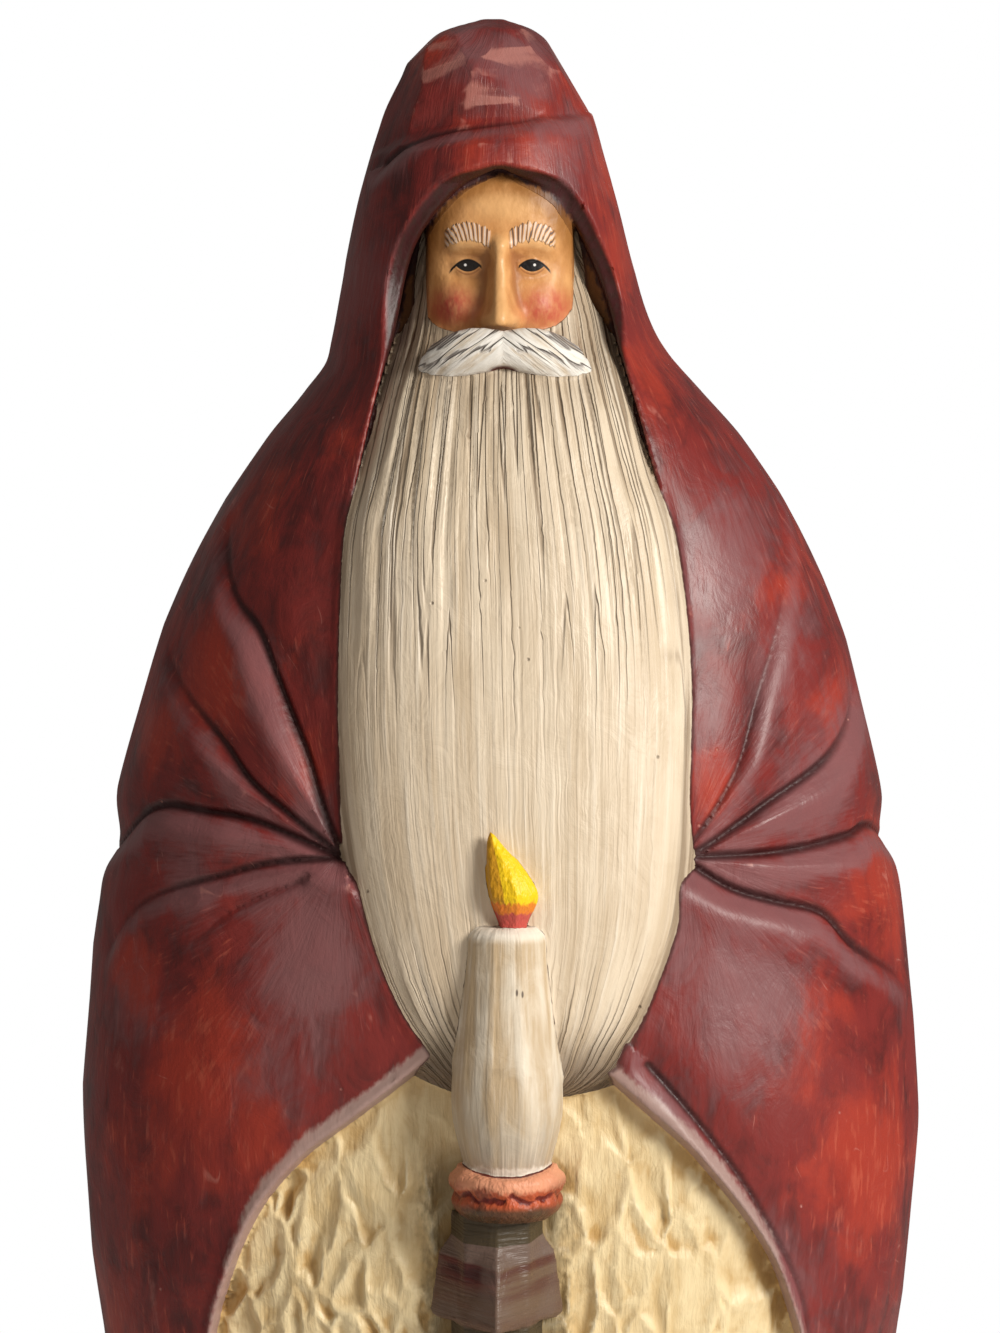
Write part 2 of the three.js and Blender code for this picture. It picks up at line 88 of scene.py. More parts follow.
# The hood's opening runs on as the edge of the beard: height, then where its side is.
OPENING_LEFT = [
    (93.2, 0.5), (94.6, -3.5), (98, -6.6), (101, -9), (105, -11.9), (110, -14.4), (115, -16.2),
    (122, -18), (128, -19.1), (135, -19.9), (145, -20.4), (157, -20.1), (166, -19.5),
    (173, -17.9), (182, -15.8), (190, -13.5), (199.5, -11.4), (204.6, -8.8), (209, -4.6),
    (211, -0.6),
]
OPENING_RIGHT = [
    (93.2, 2.5), (95.2, 9), (98, 12.6), (101.6, 15), (105, 17.2), (110, 19.4), (116, 21.5),
    (122, 22.5), (129, 23.1), (137, 23.5), (145, 23.7), (152, 23.4), (160, 22.6), (167, 21.4),
    (173, 19.5), (181, 17.3), (188, 15.2), (193, 14), (199.5, 11.6), (207, 7.4), (209.6, 3.4),
    (211, 0.4),
]
OPENING_FLOOR = [(93, -20), (180, -12), (195, -9), (211, -10)]
RIM_ROUNDING = 0.45
SEAM_DEPTH = 1.7

BEARD_FRONT = [
    (93.6, 32.5), (95.5, 35.6), (99, 37.6), (106, 39), (117, 39.2), (130, 38.2), (145, 36.2),
    (158, 33.8), (170, 30.6), (180, 26.8), (185, 23.6), (189, 18.4), (193, 15.6), (197, 14),
]
BEARD_FOOT, BEARD_TOP = 93.6, 197.0
BEARD_THICKNESS = 12.0
BEARD_POWER = 2.4
BEARD_SEAM = -0.1
BEARD_BACK = 10.0

# The robe shows in an arch between the cloak's edges and lies this far behind them.
ROBE_INSET = 3.0
ROBE_LEFT = [
    (3, -37.5), (30, -38.5), (48, -38.5), (58, -37.6), (67.4, -36), (79.4, -31.4), (87.4, -25.1),
    (93, -18), (98.5, -11), (103, -6),
]
ROBE_RIGHT = [
    (3, 39.5), (30, 40.5), (48, 40.5), (56, 39.9), (64.5, 38), (75.3, 34), (87.4, 25.1),
    (93, 19.2), (98, 13.7), (103, 8),
]
CLOAK_EDGE_SLANT = 0.35

# Folds gathered at both elbows: width, depth, then degrees round the figure and the height.
FOLDS = [
    (1.9, 2.6, [(-21, 125), (-25, 132), (-30, 140), (-42, 152), (-53, 157), (-68, 165)]),
    (1.9, 2.6, [(-21, 125), (-30, 130), (-38, 134), (-48, 140), (-69, 148)]),
    (2.0, 2.8, [(-21, 125), (-36, 129), (-48, 130), (-62, 130), (-79, 125), (-112, 118)]),
    (1.5, 1.8, [(-21, 125), (-33, 124), (-43, 122), (-60, 118), (-72, 111)]),
    (0.9, 0.9, [(-27, 122), (-38, 118), (-46, 113)]),
    (1.3, 1.4, [(25, 125), (28, 128), (36, 136), (44, 146), (58, 157), (76, 168)]),
    (2.0, 2.6, [(25, 125), (29, 126), (42, 131.5), (61, 137), (77, 143)]),
    (2.0, 2.6, [(25, 125), (43, 125), (63, 126), (76, 126.5), (112, 120)]),
    (2.1, 3.0, [(25, 125), (33, 121), (41, 119), (51, 117), (59, 112), (76, 107)]),
    (1.4, 1.5, [(17.7, 99), (27.6, 88.5), (36, 79), (47, 64), (52, 40), (53, 18)]),
    (0.8, 0.7, [(-17.5, 91), (-22, 88), (-27.5, 83.5), (-33, 76)]),
    (1.8, 1.6, [(-62, 212), (-35, 216), (-3, 217.6), (27, 218), (60, 218.6)]),
    (2.2, 1.6, [(-140, 208), (-150, 170), (-152, 120), (-150, 60), (-149, 20)]),
    (2.2, 1.6, [(180, 196), (178, 150), (181, 90), (180, 24)]),
    (2.2, 1.6, [(141, 206), (148, 160), (152, 110), (150, 60), (148, 20)]),
]
FOLD_STEPS = 30
FOLD_THINNEST = 0.25
FOLD_REACH = 10.0
FOLD_RUN_OUT = 4.0

# Flat knife cuts on the cap of the hood: degrees from the front, height, depth and tilt.
KNIFE_CUTS = [
    (22, 222.9, 1.25, 6), (-32, 224.2, 1.0, 6), (-8, 226.6, 0.8, 0), (-24, 219.6, 0.9, -8),
    (0, 219.8, 0.8, -8), (54, 221, 0.8, -4), (52, 226.8, 0.6, 0), (84, 222.4, 0.7, 0),
    (-64, 221.2, 0.8, -4), (-84, 226.4, 0.6, 0), (112, 221.6, 0.7, 0), (130, 226.4, 0.5, 0),
    (146, 221.8, 0.7, 0), (178, 222.4, 0.7, 0), (-150, 222.2, 0.7, 0), (-176, 227, 0.5, 0),
    (-118, 221.6, 0.7, 0),
]
CAP_FOOT_FRONT = [(-17, 212.4), (-11, 215.6), (-3, 217.1), (7, 217.7), (16, 218.4)]
CAP_FOOT_BACK = 217.5
CAP_RELAX = 1.6

# The hood's rim is bevelled round the face: how wide, and where that starts and ends.
HOOD_BEVEL, BEVEL_STEEPNESS = 2.4, 1.1
SKIN_SHORT = 0.9

# The head: a face on plain proportions, each third of it this high, hair and a moustache.
FACE_MIDDLE = 0.0
FACE_HALF_WIDTH = 9.2
FACE_TOP, FACE_CHIN = 212.0, 185.0
FACE_SIDE, FACE_FRONT = 12.0, 17.2
NOSE_BASE = 191.0
THIRD = 10.0
BROW = NOSE_BASE + THIRD
EYE_LEVEL = 198.6
EYE_APART = 4.1
NOSE_TIP = 4.4
HAIR_FOOT, HAIR_TOP = 178.0, 212.0
HAIR_HALF, HAIR_CROWN, HAIR_FRONT, HAIR_BACK = 14.2, 9.0, 14.6, 4.0
MOUSTACHE_LEFT = [(0.3, 188.4), (-3, 188.2), (-6, 187.2), (-9.6, 185.8)]
MOUSTACHE_RIGHT = [(0.5, 188.4), (3.8, 188.2), (7.2, 187.1), (10.8, 185.4)]
MOUSTACHE_HEIGHT, MOUSTACHE_THICKNESS = 2.7, 2.0
MOUSTACHE_FRONT, MOUSTACHE_TIP = 23.0, 19.6

# The candle and the stacked candlestick.
CANDLE_AXIS = (0.9, -37.2)
CANDLE = [(85, 4.6), (87, 5.4), (94, 6.9), (104, 6.3), (113, 5.4), (115.8, 5.2), (117, 4.2)]
CANDLE_SIDES = 10
FLAME_MIDDLE = [(116, 1.6), (118.2, 1.7), (121.2, 1.7), (124.5, 0.6), (127.2, -0.6), (129, -1.2)]
FLAME_RADIUS = [(116, 1.1), (118.2, 2.1), (121.2, 3.3), (124.5, 2.4), (127.2, 1.1), (129, 0.15)]
FLAME_FORWARD, FLAME_FLATNESS = 39.6, 0.8
CUP = [(80, 5.2), (81.2, 6.6), (83, 7.2), (85.4, 7.35), (86.4, 6.4)]
STAND_AXIS = (-0.4, -34.4)
STAND_TOP = 80.4
BLOCK_COUNT, BLOCK_HEIGHT, BLOCK_PITCH, BLOCK_TOP = 5, 10.6, 14.2, 77.6
BLOCK_HALF_TOP, BLOCK_HALF_FOOT = 7.4, 8.5
NECK_RADIUS = 5.8
CHAMFER, BLOCK_LEAN = 2.2, 0.15

# The low base, carved from the same block.
BASE_HEIGHT, BASE_BEVEL, BASE_HALF, BASE_FRONT, BASE_BACK = 5.5, 1.0, 48.5, 44.0, 40.0
BASE_POWER = 2.5

# The sizes above are from the middle of the hood. This brings the middle of the depth over the
# origin, as on the solid.
DEPTH_SHIFT = 2.3

# What the relief and the paint follow on the carving.
PIECE = "painted_carving"
COMB_WIDTH = 22.0
STRAND_REST = 0.16
WRAP_MIDDLE, WRAP_RADIUS = 2.0, 42.0
GATHERS, GATHER_HEIGHT, GATHER_RADIUS = (-21, 25), 125.0, 22.0

# Soft spots of paint: across, height, size and strength.
SPOT_STRETCH = 1.5
# Mauve dust spots, which also lay a painted sheen.
DUST_AND_SHEEN_SPOTS = [
    (-24, 112, 7, 0.95), (-28, 100, 6, 0.5), (-40, 122, 5, 0.5), (-46, 104, 5, 0.35), (30, 108, 9, 0.8),
    (22, 116, 5, 0.6), (28, 162, 7, 0.7), (26, 143, 5, 0.5), (40, 132, 6, 0.7), (45, 140, 5, 0.5),
    (34, 70, 7, 0.5), (-17, 197, 4, 0.45), (-4, 226, 4, 0.6), (3.2, 222.5, 4, 0.8), (8, 213, 5, 0.5),
    (36, 150, 5, 0.5), (-30, 146, 4, 0.5), (-22, 128, 4, 0.4),
]
WARM_SPOTS = [
    (-37, 98, 8, 0.9), (-30, 90, 6, 0.6), (-45, 86, 7, 0.5), (-35, 146, 6, 0.9), (-44, 140, 5, 0.6),
    (-24, 136, 4, 0.7), (-46, 108, 5, 0.6), (47, 84, 8, 0.9), (49, 118, 6, 0.8), (43, 142, 5, 0.6),
    (36, 158, 6, 0.5), (27, 134, 3, 1.0), (40, 100, 6, 0.6), (-8, 226.5, 3, 0.9), (15, 212, 5, 0.8),
    (12, 220, 4, 0.7), (15, 198, 5, 0.6), (20, 186, 5, 0.5), (-2, 212, 5, 0.6), (-30, 168, 6, 0.4),
    (32, 62, 7, 0.5), (-48, 62, 8, 0.5), (-18, 176, 4, 0.4), (4, 215, 5, 0.6),
]
# Painted shade: darker maroon spots where shade falls on the cloak and under the cap.
PAINTED_SHADE_SPOTS = [
    (-13, 200, 4, 0.9), (-15, 186, 4, 0.9), (-19, 168, 5, 0.7), (-11, 209, 3, 0.7), (-23, 148, 6, 0.8),
    (-22, 158, 5, 0.7), (-26, 134, 4, 0.7), (-40, 134, 5, 0.8), (-47, 128, 4, 0.7), (-33, 128, 4, 0.6),
    (-36, 121, 4, 0.7), (-48, 116, 4, 0.6), (-12, 216, 3, 0.9), (-9, 219.5, 3, 0.9), (-2, 219.5, 2.4, 1.0),
    (2, 219, 2, 0.8), (10, 222, 3, 0.6), (27, 150, 6, 0.8), (28, 142, 5, 0.7), (24, 172, 5, 0.5),
    (29, 128, 5, 0.8), (34, 127, 4, 0.6), (38, 120, 4, 0.6), (47, 128, 3, 0.7), (26, 112, 4, 0.4),
    (-32, 106, 5, 0.4), (-44, 74, 7, 0.5), (-50, 92, 5, 0.5), (-27, 92, 4, 0.5), (40, 92, 6, 0.3),
    (32, 96, 5, 0.4), (-38, 86, 5, 0.4), (48, 70, 6, 0.4), (44, 112, 4, 0.3), (14, 190, 3, 0.4),
]


def srgb(red, green, blue):
    """A colour as a screen shows it, from 0 to 255, as the renderer's linear light."""
    channels = [c / 255 for c in (red, green, blue)]
    return tuple(c / 12.92 if c <= 0.04045 else ((c + 0.055) / 1.055) ** 2.4 for c in channels) + (1.0,)


# Paints.
CLOAK_RED = srgb(124, 40, 37)
CLOAK_DARK = srgb(76, 27, 27)
CLOAK_WARM = srgb(164, 54, 38)
CLOAK_BRIGHT = srgb(188, 88, 66)
CLOAK_DUST_AND_SHEEN = srgb(134, 86, 88)
CLOAK_WEAR_AND_HIGHLIGHT = srgb(206, 140, 128)
CLOAK_SHADE = srgb(62, 20, 21)
CLOAK_CREASE = srgb(38, 10, 12)
UNDERCOAT = srgb(172, 146, 138)
HOOD_RIM_DARK_AND_SHADE = srgb(56, 26, 22)
SEAM_DARK_AND_SHADE = srgb(60, 28, 22)
BEARD_PALE = srgb(232, 216, 192)
BEARD_LIGHT = srgb(246, 237, 222)
BEARD_TAN = srgb(208, 188, 160)
BEARD_WASH_AND_SHADE = srgb(132, 110, 86)
BEARD_DEEP = srgb(84, 62, 46)
MOUSTACHE_WHITE = srgb(240, 236, 228)
MOUTH_DARK = srgb(80, 22, 18)
MOUTH_ACROSS, MOUTH_LEVEL = 0.4, 185.6
ROBE_CREAM = srgb(234, 214, 170)
ROBE_HIGHLIGHT = srgb(246, 236, 208)
ROBE_TAN = srgb(202, 172, 120)
ROBE_OCHRE = srgb(186, 144, 78)
ROBE_BROWN = srgb(142, 104, 56)
ROBE_OLIVE_SHADOW = srgb(98, 80, 48)
SKIN_TAN = srgb(226, 168, 108)
SKIN_HIGHLIGHT = srgb(240, 190, 130)
SKIN_SHADE = srgb(206, 146, 88)
SKIN_WASH_AND_SHADE = srgb(140, 82, 48)
SKIN_SLOP_AND_SHADE = srgb(150, 98, 44)
CHEEK_RED = srgb(196, 86, 68)
EYE_BLACK = srgb(16, 12, 12)
EYE_WHITE = srgb(245, 245, 245)
BROW_GREY = srgb(92, 74, 70)
BROW_WHITE = srgb(232, 214, 200)
CANDLE_WHITE = srgb(232, 220, 200)
CANDLE_TAN = srgb(196, 172, 138)
CANDLE_GREY = srgb(158, 144, 126)
CANDLE_MARKS = [(2.1, 109.2), (2.8, 109.0)]
FLAME_YELLOW = srgb(250, 208, 20)
FLAME_SHADED_OCHRE = srgb(196, 128, 30)
FLAME_ORANGE = srgb(226, 120, 40)
FLAME_RED = srgb(200, 84, 74)
CUP_ORANGE = srgb(190, 88, 52)
CUP_BROWN = srgb(132, 66, 44)
CUP_LIP_HIGHLIGHT = srgb(236, 166, 130)
CUP_CUT = srgb(96, 20, 12)
STAND_MAROON = srgb(92, 38, 32)
STAND_SHADED_DARK = srgb(64, 26, 24)
STAND_LIT_BROWN = srgb(88, 52, 42)
STAND_GREY = srgb(108, 86, 68)
STAND_HIGHLIGHT_GREY = srgb(112, 94, 84)
STAND_OLIVE_WASH_AND_SHADE = srgb(66, 56, 36)
BASE_DARK = srgb(52, 44, 30)
BASE_OLIVE = srgb(82, 68, 44)
BASE_WORN = srgb(134, 108, 74)

# The stage, in metres.
FLOOR_RADIUS = 0.28
FLOOR_COLOR = (0.9, 0.89, 0.87, 1)
AMBIENT_COLOR, AMBIENT_STRENGTH = (1.0, 0.94, 0.88, 1), 0.18
BACKDROP_STRENGTH = 1.0
LIGHT_TARGET = (0, 0, 0.13)
LIGHTS = [
    ("Key", (0.72, -0.64, 0.5), 0.35, 11.5, (1.0, 0.96, 0.9), True),
    ("Fill", (-0.5, -1.0, 0.25), 0.6, 0.9, (1.0, 0.84, 0.68), True),
    ("Back", (0.05, 1.1, 0.22), 0.6, 6.0, (1.0, 0.96, 0.9), False),
]
CAMERA_DISTANCE, CAMERA_ELEVATION = 0.9, 5.0
CAMERA_TARGET = (0, DEPTH_SHIFT * MM, 0.1462)
VIEW_HEIGHT = 0.17329

VOXEL = 0.36
BLOCK = 8
BAND = 1.5
MOST_TRIANGLES = 196_000


# Curves and plain shapes.

def curve_through(knots):
    """A smooth curve through pairs of a position and a value, read at any position."""
    at, value = np.array(knots, dtype=np.float64).T
    index = np.arange(len(at))
    before, after = np.maximum(index - 1, 0), np.minimum(index + 1, len(at) - 1)
    slope = (value[after] - value[before]) / (at[after] - at[before])

    def read(position):
        spot = np.clip(position, at[0], at[-1])
        i = np.clip(np.searchsorted(at, spot, side="right") - 1, 0, len(at) - 2)
        span = at[i + 1] - at[i]
        s = (spot - at[i]) / span
        bend = s * (1 - s) * ((1 - s) * slope[i] - s * slope[i + 1]) * span
        return (value[i] + (value[i + 1] - value[i]) * s * s * (3 - 2 * s) + bend).astype(np.float32)

    return read


half_width = curve_through(HALF_WIDTH)
front_depth = curve_through(FRONT_DEPTH)
back_depth = curve_through(BACK_DEPTH)
side_shift = curve_through(SIDE_SHIFT)
opening_left = curve_through(OPENING_LEFT)
opening_right = curve_through(OPENING_RIGHT)
opening_floor = curve_through(OPENING_FLOOR)
beard_front = curve_through(BEARD_FRONT)
robe_left = curve_through(ROBE_LEFT)
robe_right = curve_through(ROBE_RIGHT)
candle_radius = curve_through(CANDLE)
flame_middle = curve_through(FLAME_MIDDLE)
flame_radius = curve_through(FLAME_RADIUS)
cup_radius = curve_through(CUP)
cap_foot = curve_through(CAP_FOOT_FRONT)


def smooth_max(a, b, width):
    """The larger of two fields, with a rounded corner of that width."""
    share = np.clip(0.5 + 0.5 * (a - b) / width, 0, 1)
    return b + (a - b) * share + width * share * (1 - share)


def smooth_min(a, b, width):
    """The smaller of two fields, with a filled corner of that width."""
    return -smooth_max(-a, -b, width)


def smooth_step(low, high, value):
    """From 0 at low to 1 at high, without a corner."""
    share = np.clip((value - low) / (high - low), 0, 1)
    return share * share * (3 - 2 * share)


def bump(value, width):
    """A soft bump, 1 at 0 and nothing beyond about twice the width."""
    return np.exp(-((value / width) ** 2))


def rounded_column(x, y, half, depth, power, lean_x=0.0, lean_y=0.0):
    """Distance to an upright column whose section is a rounded square, near its skin."""
    across, out = np.abs(x) / half, np.abs(y) / depth
    a, b = across**power, out**power
    ring = np.maximum((a + b) ** (1 / power), 0.2)
    lean = a * lean_x / half + b * lean_y / depth
    flat = (across ** (power - 1) / half) ** 2 + (out ** (power - 1) / depth) ** 2
    return (ring - 1) / (np.sqrt(flat + lean * lean) * ring ** (1 - power))


def slope_of(curve, z):
    return curve(z + 0.5) - curve(z - 0.5)


class Outline:
    """Signed distance to a closed outline in the x-z plane, negative inside, kept on a grid."""

    STEP = 0.3
    MARGIN = 7.0

    def __init__(self, left, right, low, high, count=150):
        heights = np.linspace(low, high, count)
        sides = [np.stack([left(heights), heights], 1), np.stack([right(heights), heights], 1)[::-1]]
        points = np.concatenate(sides)
        self.low = points.min(0) - self.MARGIN
        spans = points.max(0) + self.MARGIN - self.low
        nx, nz = np.ceil(spans / self.STEP).astype(int) + 1
        gx = (self.low[0] + self.STEP * np.arange(nx))[:, None]
        gz = (self.low[1] + self.STEP * np.arange(nz))[None, :]
        nearest = np.full((nx, nz), 1e9)
        inside = np.zeros((nx, nz), bool)
        for (ax, az), (bx, bz) in zip(points, np.roll(points, -1, axis=0)):
            ex, ez = bx - ax, bz - az
            share = np.clip(((gx - ax) * ex + (gz - az) * ez) / (ex * ex + ez * ez + 1e-12), 0, 1)
            nearest = np.minimum(nearest, (gx - ax - share * ex) ** 2 + (gz - az - share * ez) ** 2)
            if az != bz:
                crossed = (az > gz) != (bz > gz)
                inside ^= crossed & (gx < ax + (gz - az) * ex / ez)
        self.grid = (np.sqrt(nearest) * np.where(inside, -1, 1)).astype(np.float32)

    def __call__(self, x, z):
        nx, nz = self.grid.shape
        u = np.clip((x - self.low[0]) / self.STEP, 0, nx - 1.001)
        v = np.clip((z - self.low[1]) / self.STEP, 0, nz - 1.001)
        i, j = u.astype(np.int32), v.astype(np.int32)
        s, t = (u - i).astype(np.float32), (v - j).astype(np.float32)
        near = self.grid[i, j] * (1 - s) + self.grid[i + 1, j] * s
        far = self.grid[i, j + 1] * (1 - s) + self.grid[i + 1, j + 1] * s
        return near * (1 - t) + far * t


opening = Outline(opening_left, opening_right, 93.2, 211.0)
arch = Outline(robe_left, robe_right, 3.0, 103.0)


def spline(points, count):
    """Evenly spaced places on a smooth line through the points, both ends among them."""
    knots = np.array(points, dtype=np.float64)
    place = np.linspace(0, len(knots) - 1, count + 1)
    i = np.minimum(place.astype(int), len(knots) - 2)
    t = (place - i)[:, None]
    last = len(knots) - 1
    p0, p1 = knots[np.maximum(i - 1, 0)], knots[i]
    p2, p3 = knots[i + 1], knots[np.minimum(i + 2, last)]
    v0, v1 = (p2 - p0) / 2, (p3 - p1) / 2
    return (
        (2 * p1 - 2 * p2 + v0 + v1) * t**3 + (-3 * p1 + 3 * p2 - 2 * v0 - v1) * t**2 + v0 * t + p1
    )


def cloak_point(degrees, z):
    """The place on the cloak's skin so many degrees round from the front."""
    angle = math.radians(degrees)
    across = math.copysign(abs(math.sin(angle)) ** (2 / SECTION_POWER), math.sin(angle))
    out = math.copysign(abs(math.cos(angle)) ** (2 / SECTION_POWER), math.cos(angle))
    depth = front_depth(z) if out > 0 else back_depth(z)
    return np.array([side_shift(z) + half_width(z) * across, -depth * out, z])


def cloak_outward(degrees, z):
    """The outward direction of the cloak's skin there."""
    round_it = cloak_point(degrees + 1, z) - cloak_point(degrees - 1, z)
    rise = cloak_point(degrees, z + 1) - cloak_point(degrees, z - 1)
    out = np.cross(round_it, rise)
    return out / np.linalg.norm(out)


# The cloak with its cap cuts and folds.

def cloak_skin(x, y, z):
    """Signed distance to the hooded cloak before anything is cut into it."""
    front = y < 0
    depth = np.where(front, front_depth(z), back_depth(z))
    lean = np.where(front, slope_of(front_depth, z), slope_of(back_depth, z))
    field = rounded_column(
        x - side_shift(z), y, half_width(z), depth, SECTION_POWER, slope_of(half_width, z), lean
    )
    return np.maximum(field, z - HEIGHT)


def knife_planes():
    """The flats on the cap, as outward directions and how far out each lies."""
    planes = []
    for degrees, z, depth, tilt in KNIFE_CUTS:
        out = cloak_outward(degrees, z)
        rise = math.atan2(out[2], math.hypot(out[0], out[1])) + math.radians(tilt)
        flat = out[:2] / np.linalg.norm(out[:2]) * math.cos(rise)
        out = np.array([flat[0], flat[1], math.sin(rise)])
        planes.append((out, out @ cloak_point(degrees, z) - depth))
    return planes


def fold_runs():
    """Each fold as its stations: place, outward direction, depth there, and the lit side."""
    runs = []
    for width, depth, path in FOLDS:
        spots = spline(path, FOLD_STEPS)
        places = np.array([cloak_point(*spot) for spot in spots])
        outs = np.array([cloak_outward(*spot) for spot in spots])
        fades = FOLD_THINNEST + (1 - FOLD_THINNEST) * np.cos(np.linspace(0, math.pi / 2, len(spots)))
        lit = 1.0 if path[-1][0] > path[0][0] else -1.0
        runs.append((width, depth * fades, places, outs, lit))
    return runs


KNIFE_PLANES = knife_planes()
FOLD_RUNS = fold_runs()


def reach_of(x, y, z):
    """The middle of each item of the arrays, and how far it reaches from there."""
    lows, highs = [], []
    for values in (x, y, z):
        flat = values.reshape(len(values), -1)
        lows.append(flat.min(1))
        highs.append(flat.max(1))
    low, high = np.stack(lows, 1), np.stack(highs, 1)
    return (low + high) / 2, np.linalg.norm(high - low, axis=1) / 2


def across_fold(run, x, y, z):
    """How far each point is to the side of a fold, and how deep the fold is there."""
    _, depths, places, outs, _ = run
    best = np.full(np.broadcast(x, y, z).shape, 1e6, np.float32)
    side = np.zeros_like(best)
    depth = np.zeros_like(best)
    last = len(places) - 2
    for i, (start, end) in enumerate(zip(places[:-1], places[1:])):
        length = np.linalg.norm(end - start)
        along = (end - start) / length
        beside = np.cross(along, outs[i] + outs[i + 1])
        beside /= np.linalg.norm(beside)
        dx, dy, dz = x - start[0], y - start[1], z - start[2]
        run_on = dx * along[0] + dy * along[1] + dz * along[2]
        lateral = dx * beside[0] + dy * beside[1] + dz * beside[2]
        beyond = run_on - np.clip(run_on, 0, length)
        gap = lateral * lateral + beyond * beyond
        closer = gap < best
        here = depths[i] + (depths[i + 1] - depths[i]) * np.clip(run_on / length, 0, 1)
        if i == last:
            here = here * smooth_step(FOLD_RUN_OUT, 0, run_on - length)
        best = np.where(closer, gap, best)
        side = np.where(closer, np.where(lateral < 0, -1, 1) * np.sqrt(gap), side)
        depth = np.where(closer, here, depth)
    return side, depth


def fold_relief(x, y, z):
    """How far the folds sink the cloak, and masks for the painted shade in their creases and on their
    slopes and for the painted highlight on their lit sides.
    """
    shape = np.broadcast(x, y, z).shape
    sink, roll, crease, slope, lit = (np.zeros(shape, np.float32) for _ in range(5))
    middle, reach = reach_of(x, y, z)
    for run in FOLD_RUNS:
        width, _, places, _, lit_side = run
        gaps = np.min([np.linalg.norm(middle - place, axis=1) for place in places], axis=0)
        near = np.flatnonzero(gaps < FOLD_REACH + reach)
        if not len(near):
            continue
        side, depth = across_fold(run, x[near], y[near], z[near])
        toward = side * lit_side
        cut = np.clip(1 - np.abs(side) / (0.26 * width + 0.25), 0, 1)
        valley = bump(side, np.where(toward > 0, 0.85 * width, 1.9 * width))
        strength = np.clip(depth / 1.6, 0, 1)
        sink[near] = np.maximum(sink[near], depth * (0.42 * cut + 0.58 * valley))
        roll[near] = np.maximum(roll[near], depth * 0.2 * bump(toward - 1.9 * width, 1.1 * width))
        crease[near] = np.maximum(crease[near], strength * bump(side, 0.25 * width + 0.4))
        above = bump(toward + 0.55 * width, 1.15 * width)
        slope[near] = np.maximum(slope[near], strength * above)
        lit[near] = np.maximum(lit[near], strength * bump(toward - 1.25 * width, 0.9 * width))
    return sink - roll * np.exp(-2 * sink), crease, slope, lit


def cloak(x, y, z):
    """The cloak and hood as carved, with the front opened for the beard and the robe."""
    skin = cloak_skin(x, y, z)
    field = skin.copy()
    high = np.flatnonzero(z.reshape(len(z), -1).max(1) > CAP_FOOT_FRONT[0][1] - 2)
    if len(high):
        foot = np.where(y[high] < 0, cap_foot(x[high]), CAP_FOOT_BACK)
        relax = CAP_RELAX * np.maximum(foot - z[high], 0)
        cap = field[high]
        for out, far in KNIFE_PLANES:
            flat = out[0] * x[high] + out[1] * y[high] + out[2] * z[high] - far - relax
            cap = np.maximum(cap, flat)
        field[high] = cap
    field = field + fold_relief(x, y, z)[0]
    field = smooth_max(field, CLOAK_FOOT - z, 0.3)
    slanted = arch(x, z) - CLOAK_EDGE_SLANT * np.minimum(skin, 0)
    robe_space = np.maximum(np.where(y < 0, slanted, 9), -(skin + ROBE_INSET))
    field = smooth_max(field, -robe_space, 0.3)
    seam = SEAM_DEPTH + 40 * smooth_step(HAIR_FOOT + 2, HAIR_FOOT + 22, z)
    outside = opening(x, z)
    hood_space = np.maximum(np.maximum(outside, y - opening_floor(z)), -(skin + seam))
    field = smooth_max(field, -hood_space, RIM_ROUNDING)
    width = hood_bevel(z)
    bevel = (skin + (width - outside) * BEVEL_STEEPNESS) / math.hypot(1, BEVEL_STEEPNESS)
    return smooth_max(field, np.where((width > 0) & (y < 0), bevel, -9), 0.35)


def hood_bevel(z):
    """How wide the bevel of the hood's rim is at a height."""
    return HOOD_BEVEL * smooth_step(180, 198, z) - 1.7 * smooth_step(209, 212.5, z)


# What stands in the openings.

def beard(x, y, z):
    """The beard, an egg that fills the lower opening and runs back into the hair."""
    left, right = opening_left(z), opening_right(z)
    half = np.maximum((right - left) / 2, 0.4)
    middle = (left + right) / 2
    forward = beard_front(z)
    flat = np.clip(1 - (half / half_width(z)) ** SECTION_POWER, 0.05, 1) ** (1 / SECTION_POWER)
    ahead = np.clip((front_depth(z) * flat - forward) / BEARD_THICKNESS + 1, 0, 0.9)
    swollen = (1 - ahead**BEARD_POWER) ** (-1 / BEARD_POWER)
    half = half * (1 + (swollen - 1) * smooth_step(178, 164, z)) - BEARD_SEAM
    lean_x = (slope_of(opening_right, z) - slope_of(opening_left, z)) / 2
    ahead = np.maximum(-(y + forward - BEARD_THICKNESS), 0)
    field = rounded_column(
        x - middle, ahead, half, BEARD_THICKNESS, BEARD_POWER, lean_x, slope_of(beard_front, z)
    )
    field = smooth_max(field, BEARD_FOOT - z, 0.8)
    return np.maximum(np.maximum(field, z - BEARD_TOP), y + BEARD_BACK)


def hair(x, y, z):
    """Hair behind and beside the face, as wide as the opening below the cheeks."""
    share = np.clip((z - HAIR_FOOT) / (HAIR_TOP - HAIR_FOOT), 0, 1)
    half = HAIR_HALF + (HAIR_CROWN - HAIR_HALF) * share**4
    low = smooth_step(HAIR_FOOT + 15, HAIR_FOOT + 8, z)
    left, right = opening_left(z), opening_right(z)
    half = half + (np.maximum((right - left) / 2, half) + 0.3 - half) * low
    depth = np.where(y < 0, HAIR_FRONT + 5.5 * low, HAIR_BACK)
    field = rounded_column(x - (left + right) / 2 * low, y, half, depth, 2.0 + 1.2 * low)
    return np.maximum(np.maximum(field, z - HAIR_TOP), HAIR_FOOT - z)


